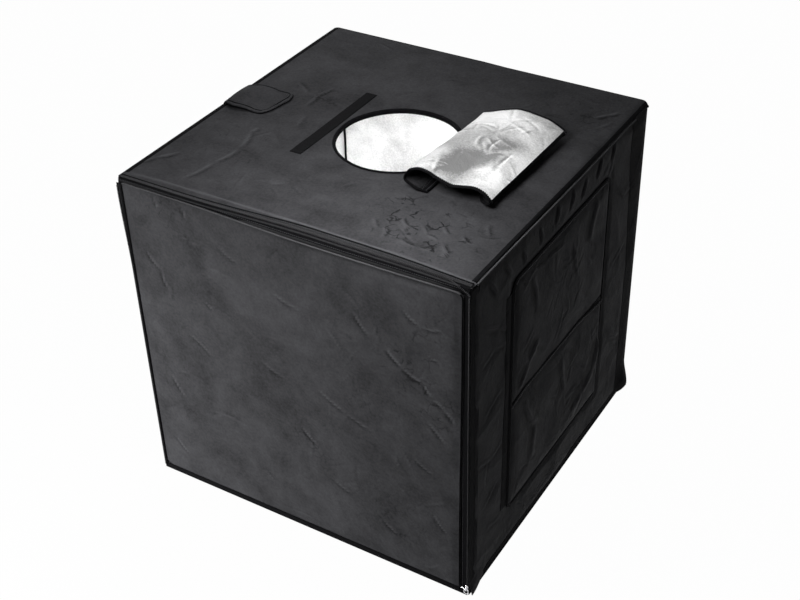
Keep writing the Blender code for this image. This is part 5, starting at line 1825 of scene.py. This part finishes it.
def flap_grid(t, share):
    """The flap's middle surface, its normals on the lining's side, and its Y."""
    points, y = flap_surface(t, share)
    ahead = flap_surface(np.minimum(t + 0.02, FLAP_LAST), share)[0] - flap_surface(np.maximum(t - 0.02, 0), share)[0]
    sideways = flap_surface(t, np.minimum(share + 0.004, 1))[0] - flap_surface(t, np.maximum(share - 0.004, 0))[0]
    return points, unit(np.cross(ahead, sideways)), y


def flap_bend(piece, number):
    """Bends a span of the flap over its hinge, or lets the last span ride on the last strip."""
    if number < len(FLAP_HINGES):
        a, b, start, end = FLAP_HINGES[number]
        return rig.blend(piece, a, b, start=start, end=end)
    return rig.ride(piece, FLAP_HINGES[-1][1])


class TENT_OT_flap(bpy.types.Operator):
    """Make the rolled cover flap: cloth, lining, bound edge and hook strip, in spans that bend at its folds"""

    bl_idname = "tent.flap"
    bl_label = "Cover flap"

    def execute(self, context):
        nodes = [["flap_1"], ["flap_2"], ["flap_3"], ["flap_4"], ["flap_5"], []]
        profile = section(12, 5.4 * MM, 3.0 * MM, 0.7)
        for number, (start, stop) in enumerate(zip(FLAP_CUTS[:-1], FLAP_CUTS[1:])):
            t_line = np.linspace(start, stop, max(6, int((stop - start) * 6) + 1))
            share, t = np.meshgrid(np.linspace(0, 1, 90), t_line)
            middle, normal, y = flap_grid(t, share)
            along = t * FLAP_STEP
            crumple = swells(y, along, 42 * MM, 31) * 1.1 * MM + swells(y, along, 17 * MM, 32) * 0.5 * MM
            marks = stray_folds(33, 44, (-0.1, 0.1), (0.02, 0.21), 55 * MM, 1.1 * MM, 2.0 * MM)
            sharp = creases(y, along, marks)
            # shade is the foil's painted light: painted highlight on crease ridges, painted shade in their hollows, and
            # the spots of FLAP_SHADE.
            shade = sharp / (1.0 * MM) + spots(y, along, FLAP_SHADE)
            inside = ease(np.minimum(share, 1 - share) / 0.06) * ease((FLAP_LAST - t) / 0.6) * ease(t / 1.5)
            core = middle + np.clip((crumple + sharp) * inside, -1.2 * MM, 1.6 * MM)[..., None] * normal
            top_side, under = core + 0.95 * MM * normal, core - 0.95 * MM * normal
            facing, finish, slot = "flap_silver", "flap_foil_lining", "silver_lining"
            # On the last two spans the lining side is black binding instead of foil: painted shade where the curled
            # free end lies in shadow, over the black hook strip and bound end that are there.
            if number > 3:
                facing, finish, slot = "flap_facing", "bias_binding", "black_binding"
            lining = closed_sheet(f"{facing}_{number + 1}", top_side, core, y, along, finish, slot=slot, fold=shade)
            # The flap's cloth is darkened evenly (fold at -0.5): painted shade in the flap's mouth and under its roll.
            make = dict(fold=0 * y - 0.5, slot="black_fabric", replaces=nodes[number])
            cloth = closed_sheet(f"flap_cloth_{number + 1}", under, core, y, along, "oxford_cloth", **make)
            length = float(np.linalg.norm(np.diff(middle[:, 45], axis=0), axis=1).sum())
            width = float((y[:, -1] - y[:, 0]).mean())
            for piece, rests in ((lining, [f"flap_cloth_{number + 1}"]), (cloth, ["top_cloth"])):
                flap_bend(piece, number)
                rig.sheet(piece, flat=(width, max(length, 0.0101)), held="folded", rests_on=rests)
            for edge, at, inward in (("near", 0.0, Y), ("far", 1.0, -Y)):
                line, out, _ = flap_grid(t_line, np.full_like(t_line, at))
                flap_bend(binding(f"flap_{edge}_binding_{number + 1}", line, out, profile), number)
                seam = line + inward * 2.2 * MM + out * 1.35 * MM
                flap_bend(stitches(f"flap_{edge}_thread_{number + 1}", seam, out), number)
        share = np.linspace(0, 1, 60)
        line, out, _ = flap_grid(np.full_like(share, FLAP_LAST), share)
        flap_bend(binding("flap_end_binding", line, out, profile), 5)
        share, t = np.meshgrid(np.linspace(0.13, 0.87, 80), np.linspace(18.0, 18.85, 12))
        middle, normal, y = flap_grid(t, share)
        face, back = middle + 2.1 * MM * normal, middle + 0.9 * MM * normal
        make = dict(slot="hook_and_loop", replaces=["flap_hook_strip"])
        flap_bend(closed_sheet("flap_hook_pile", face, back, y, t * FLAP_STEP, "hook_loop_pile", **make), 5)
        return {"FINISHED"}


# Closing tab.


def tab_surface(s, w):
    """Points of the tab's middle surface: s from 0 at its root to 1 at its tip, w from -1 to 1 across. Its half width
    is a superellipse of s, its height is an arch over the top's edge that settles towards the tip."""
    root, tip = low("tab_root")[0] - 3.5 * MM, high("closing_tab")[0] + 15.5 * MM
    x = root + s * (tip - root) + 3 * MM * w * ease((s - 0.6) / 0.4)
    half = 39.5 * MM * (1 - np.clip((s - 0.78) / 0.22, 0, 1) ** 2.6) ** (1 / 2.2) * (0.76 + 0.24 * ease(s / 0.34))
    y = w * half + (8 * ease((s - 0.15) / 0.5) - 4) * MM
    bow = 8.6 * np.sin(math.pi * np.clip(s / 0.66, 0, 1) ** 0.75) * (1 - 0.35 * w**2)
    arch = (2.4 + bow + 2.0 * ease((s - 0.72) / 0.28)) * MM
    edge = -7 * MM * np.clip(1 - s / 0.07, 0, 1) ** 1.5
    return points_at(x, y, TOP_FACE + arch + edge)


def tab_outline(start, stop, wide, tip, tip_wide, count=40):
    """Points round the tab: up its near side from start to stop of s, along the values of s at its tip, and back."""
    s, w = np.linspace(start, stop, count), np.linspace(-tip_wide, tip_wide, len(tip))
    return np.concatenate([tab_surface(s, -wide + 0 * s), tab_surface(tip, w), tab_surface(s[::-1], wide + 0 * s)])


def tab_bend(piece):
    """Bends a piece of the tab at the tab's root: it stays with the top outside the root's seam and turns past it."""
    seam = high("tab_root")[0]
    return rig.blend(piece, "top", "tab", start=(seam - 10 * MM, 0, 0), end=(seam + 4 * MM, 0, 0))


class TENT_OT_tab(bpy.types.Operator):
    """Make the padded closing tab over the top's left edge: cloth, bound edge, stitch line and hook patch"""

    bl_idname = "tent.tab"
    bl_label = "Closing tab"

    def execute(self, context):
        w, s = np.meshgrid(np.linspace(-1, 1, 44), 0.985 * np.linspace(0, 1, 48) ** 0.9)
        middle = tab_surface(s, w)
        ahead = tab_surface(s + 0.01, w) - tab_surface(s - 0.01, w)
        normal = unit(np.cross(ahead, tab_surface(s, w + 0.01) - tab_surface(s, w - 0.01)))
        rim = np.clip(np.minimum(1 - np.abs(w), np.minimum(s, 0.985 - s) * 2) / 0.18, 0, 1)
        swell = 0.35 * MM * swells(middle[..., 0], middle[..., 1], 14 * MM, 41)
        puff = (0.5 + 1.2 * ease(rim)) * MM + swell * ease(rim)
        face, back = middle + normal * puff[..., None], middle - normal * (0.6 + 0.5 * ease(rim))[..., None] * MM
        make = dict(slot="black_fabric", replaces=["closing_tab"])
        pad = closed_sheet("tab_cloth", face, back, middle[..., 1], middle[..., 0], "oxford_cloth", **make)
        tab_bend(pad)
        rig.padded(pad, fill=0.6)
        line = tab_outline(0.02, 0.96, 1.0, np.full(24, 0.985), 0.9)
        profile = section(12, 4.2 * MM, 3.4 * MM, 0.7)
        tab_bend(run_along("tab_binding", line, Z, profile, "oxford_cloth", slot="black_binding"))
        # A black cord just outside and under the binding: painted shadow beneath the tab's edge.
        outward = unit((line - line.mean(axis=0)) * (1, 1, 0))
        under = line + outward * 1.7 * MM - Z * 1.3 * MM
        tab_bend(binding("tab_under_edge", under, Z, section(10, 3.2 * MM, 1.8 * MM)))
        line = tab_outline(0.05, 0.93, 0.90, np.full(24, 0.945), 0.8) + Z * 1.4 * MM
        tab_bend(binding("tab_edge_groove", line, Z, section(8, 1.9 * MM, 1.3 * MM)))
        line = tab_outline(0.06, 0.86, 0.76, 0.88 + 0.02 * np.cos(np.linspace(-1.2, 1.2, 16)), 0.7, 30)
        tab_bend(stitches("tab_thread", line + Z * 1.9 * MM, Z))
        w, s = np.meshgrid(np.linspace(-0.58, 0.58, 24), np.linspace(0.30, 0.72, 20))
        middle = tab_surface(s, w)
        face, back = middle - Z * 2.3 * MM, middle - Z * 0.9 * MM
        make = dict(slot="hook_and_loop", replaces=["tab_hook_patch"], body="tab")
        closed_sheet("tab_hook_pile", back, face, middle[..., 1], middle[..., 0], "hook_loop_pile", **make)
        return {"FINISHED"}


# Stage.


# The camera, solved from seven corners of the cube in the photograph. Its focal length is in pixels of that picture.
CAMERA_PLACE = Vector((0.98445, -1.57292, 1.61182))
CAMERA_TURN, CAMERA_RISE, CAMERA_ROLL = (math.radians(a) for a in (31.93, 35.78, -1.686))
CAMERA_PIXELS = 1354.6
PHOTO_WIDTH = 800


class TENT_OT_stage(bpy.types.Operator):
    """Add the floor, the lamps, the plain world and the camera"""

    bl_idname = "tent.stage"
    bl_label = "Stage"

    def execute(self, context):
        scene = context.scene
        scene.view_settings.view_transform = "Standard"
        ground = math.cos(CAMERA_RISE)
        back = Vector((math.sin(CAMERA_TURN) * ground, -math.cos(CAMERA_TURN) * ground, math.sin(CAMERA_RISE)))
        level = Vector((0, 0, 1)).cross(back).normalized()
        upright = back.cross(level)
        right = math.cos(CAMERA_ROLL) * level + math.sin(CAMERA_ROLL) * upright
        up = back.cross(right)
        camera = bpy.data.objects.new("camera", bpy.data.cameras.new("camera"))
        camera.data.sensor_width = 36
        camera.data.lens = CAMERA_PIXELS / PHOTO_WIDTH * camera.data.sensor_width
        camera.matrix_world = Matrix.Translation(CAMERA_PLACE) @ Matrix((right, up, back)).transposed().to_4x4()
        scene.collection.objects.link(camera)
        scene.camera = camera

        mesh = bpy.data.meshes.new("floor")
        mesh.from_pydata([(-8, -8, 0), (8, -8, 0), (8, 8, 0), (-8, 8, 0)], [], [(0, 1, 2, 3)])
        floor = bpy.data.objects.new("floor", mesh)
        floor.location.z = -0.4 * MM
        scene.collection.objects.link(floor)
        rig.stage(floor)
        paper = new_finish("white_paper", (0.6, 0.6, 0.6), 0.9, specular=0.0)
        shine = add_node(paper, "ShaderNodeEmission", {"Color": (1, 1, 1, 1), "Strength": 1.0})
        plain = paper.node_tree.nodes["Principled BSDF"].outputs[0]
        mixed = add_node(paper, "ShaderNodeMixShader", {0: self.seen(paper, 0.985), 1: plain, 2: shine.outputs[0]})
        paper.node_tree.links.new(mixed.outputs[0], paper.node_tree.nodes["Material Output"].inputs["Surface"])
        mesh.materials.append(paper)

        world = bpy.data.worlds.new("studio")
        scene.world = world
        world.use_nodes = True
        background = world.node_tree.nodes["Background"]
        background.inputs["Color"].default_value = (1, 1, 1, 1)
        inputs = {"Value": self.seen(world, 1.0), "To Min": 0.032, "To Max": 1.0}
        strength = add_node(world, "ShaderNodeMapRange", inputs)
        world.node_tree.links.new(strength.outputs[0], background.inputs["Strength"])

        # Each lamp's name, place, target, diameter and power.
        for name, place, target, size, power in (
            ("key_lamp", (-0.60, -1.05, 0.13), (0, -0.3, 0.25), 0.24, 12.2),
            ("near_lamp", (0.12, -0.38, 0.95), (0.12, -0.22, 0.6), 0.25, 3.4),
            ("rear_lamp", (-0.3, 0.2, 1.1), (-0.3, 0.15, 0.6), 0.3, 1.6),
            ("side_lamp", (2.2, 0.3, 0.5), (0.3, 0, 0.25), 1.2, 0.15),
            ("top_lamp", (-0.2, 0.6, 3.2), (0, 0, 0.3), 2.0, 4),
        ):
            lamp = bpy.data.objects.new(name, bpy.data.lights.new(name, "AREA"))
            lamp.data.shape, lamp.data.size, lamp.data.energy = "DISK", size, power
            lamp.visible_camera = False
            aim = Vector(place) - Vector(target)
            lamp.matrix_world = Matrix.Translation(place) @ aim.to_track_quat("Z", "Y").to_matrix().to_4x4()
            scene.collection.objects.link(lamp)
        glow = bpy.data.objects.new("inside_lamp", bpy.data.lights.new("inside_lamp", "AREA"))
        glow.data.shape, glow.data.size, glow.data.energy = "DISK", 0.2, 2.7
        glow.location, glow.visible_camera = (0, 0, 0.555), False
        scene.collection.objects.link(glow)
        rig.ride(glow, "top")
        return {"FINISHED"}

    @staticmethod
    def seen(owner, share):
        """The share for rays from the camera, and for those that metal or glass sends on, and nought for others."""
        path = add_node(owner, "ShaderNodeLightPath").outputs
        either = maths(owner, "MAXIMUM", path["Is Camera Ray"], path["Is Glossy Ray"])
        return maths(owner, "MULTIPLY", maths(owner, "MAXIMUM", either, path["Is Transmission Ray"]), share)


# The add-on's panel, its registration and the run.


STEPS = (
    TENT_OT_finishes, TENT_OT_base, TENT_OT_rear, TENT_OT_walls, TENT_OT_wall_zips, TENT_OT_pocket,
    TENT_OT_top, TENT_OT_top_trim, TENT_OT_lights, TENT_OT_door, TENT_OT_door_zips, TENT_OT_slider,
    TENT_OT_flap, TENT_OT_tab, TENT_OT_stage,
)


class TENT_PT_panel(bpy.types.Panel):
    """Lists the tent's sizes and colours, and a button for each step"""

    bl_idname = "TENT_PT_panel"
    bl_label = "Light Tent"
    bl_space_type = "VIEW_3D"
    bl_region_type = "UI"
    bl_category = "Light Tent"

    def draw(self, context):
        layout = self.layout
        for group in (context.scene.tent_sizes, context.scene.tent_colours):
            box = layout.box()
            for key in group.bl_rna.properties.keys():
                if key not in ("rna_type", "name"):
                    box.prop(group, key)
        column = layout.column(align=True)
        for step in STEPS:
            column.operator(step.bl_idname)


CLASSES = (TentSizes, TentColours, *STEPS, TENT_PT_panel)


def register():
    for each in CLASSES:
        bpy.utils.register_class(each)
    bpy.types.Scene.tent_sizes = bpy.props.PointerProperty(type=TentSizes)
    bpy.types.Scene.tent_colours = bpy.props.PointerProperty(type=TentColours)


def unregister():
    del bpy.types.Scene.tent_colours
    del bpy.types.Scene.tent_sizes
    for each in reversed(CLASSES):
        bpy.utils.unregister_class(each)


def main():
    register()
    for step in STEPS:
        group, name = step.bl_idname.split(".")
        result = getattr(getattr(bpy.ops, group), name)()
        if result != {"FINISHED"}:
            raise RuntimeError(f"{step.bl_label} wasn't finished")
    with open(SIZE_FILE, "w") as file:
        json.dump({"cad": CAD_BOX, "visual": [list(corner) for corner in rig.bounds()]}, file, indent=1)


if __name__ == "__main__":
    main()
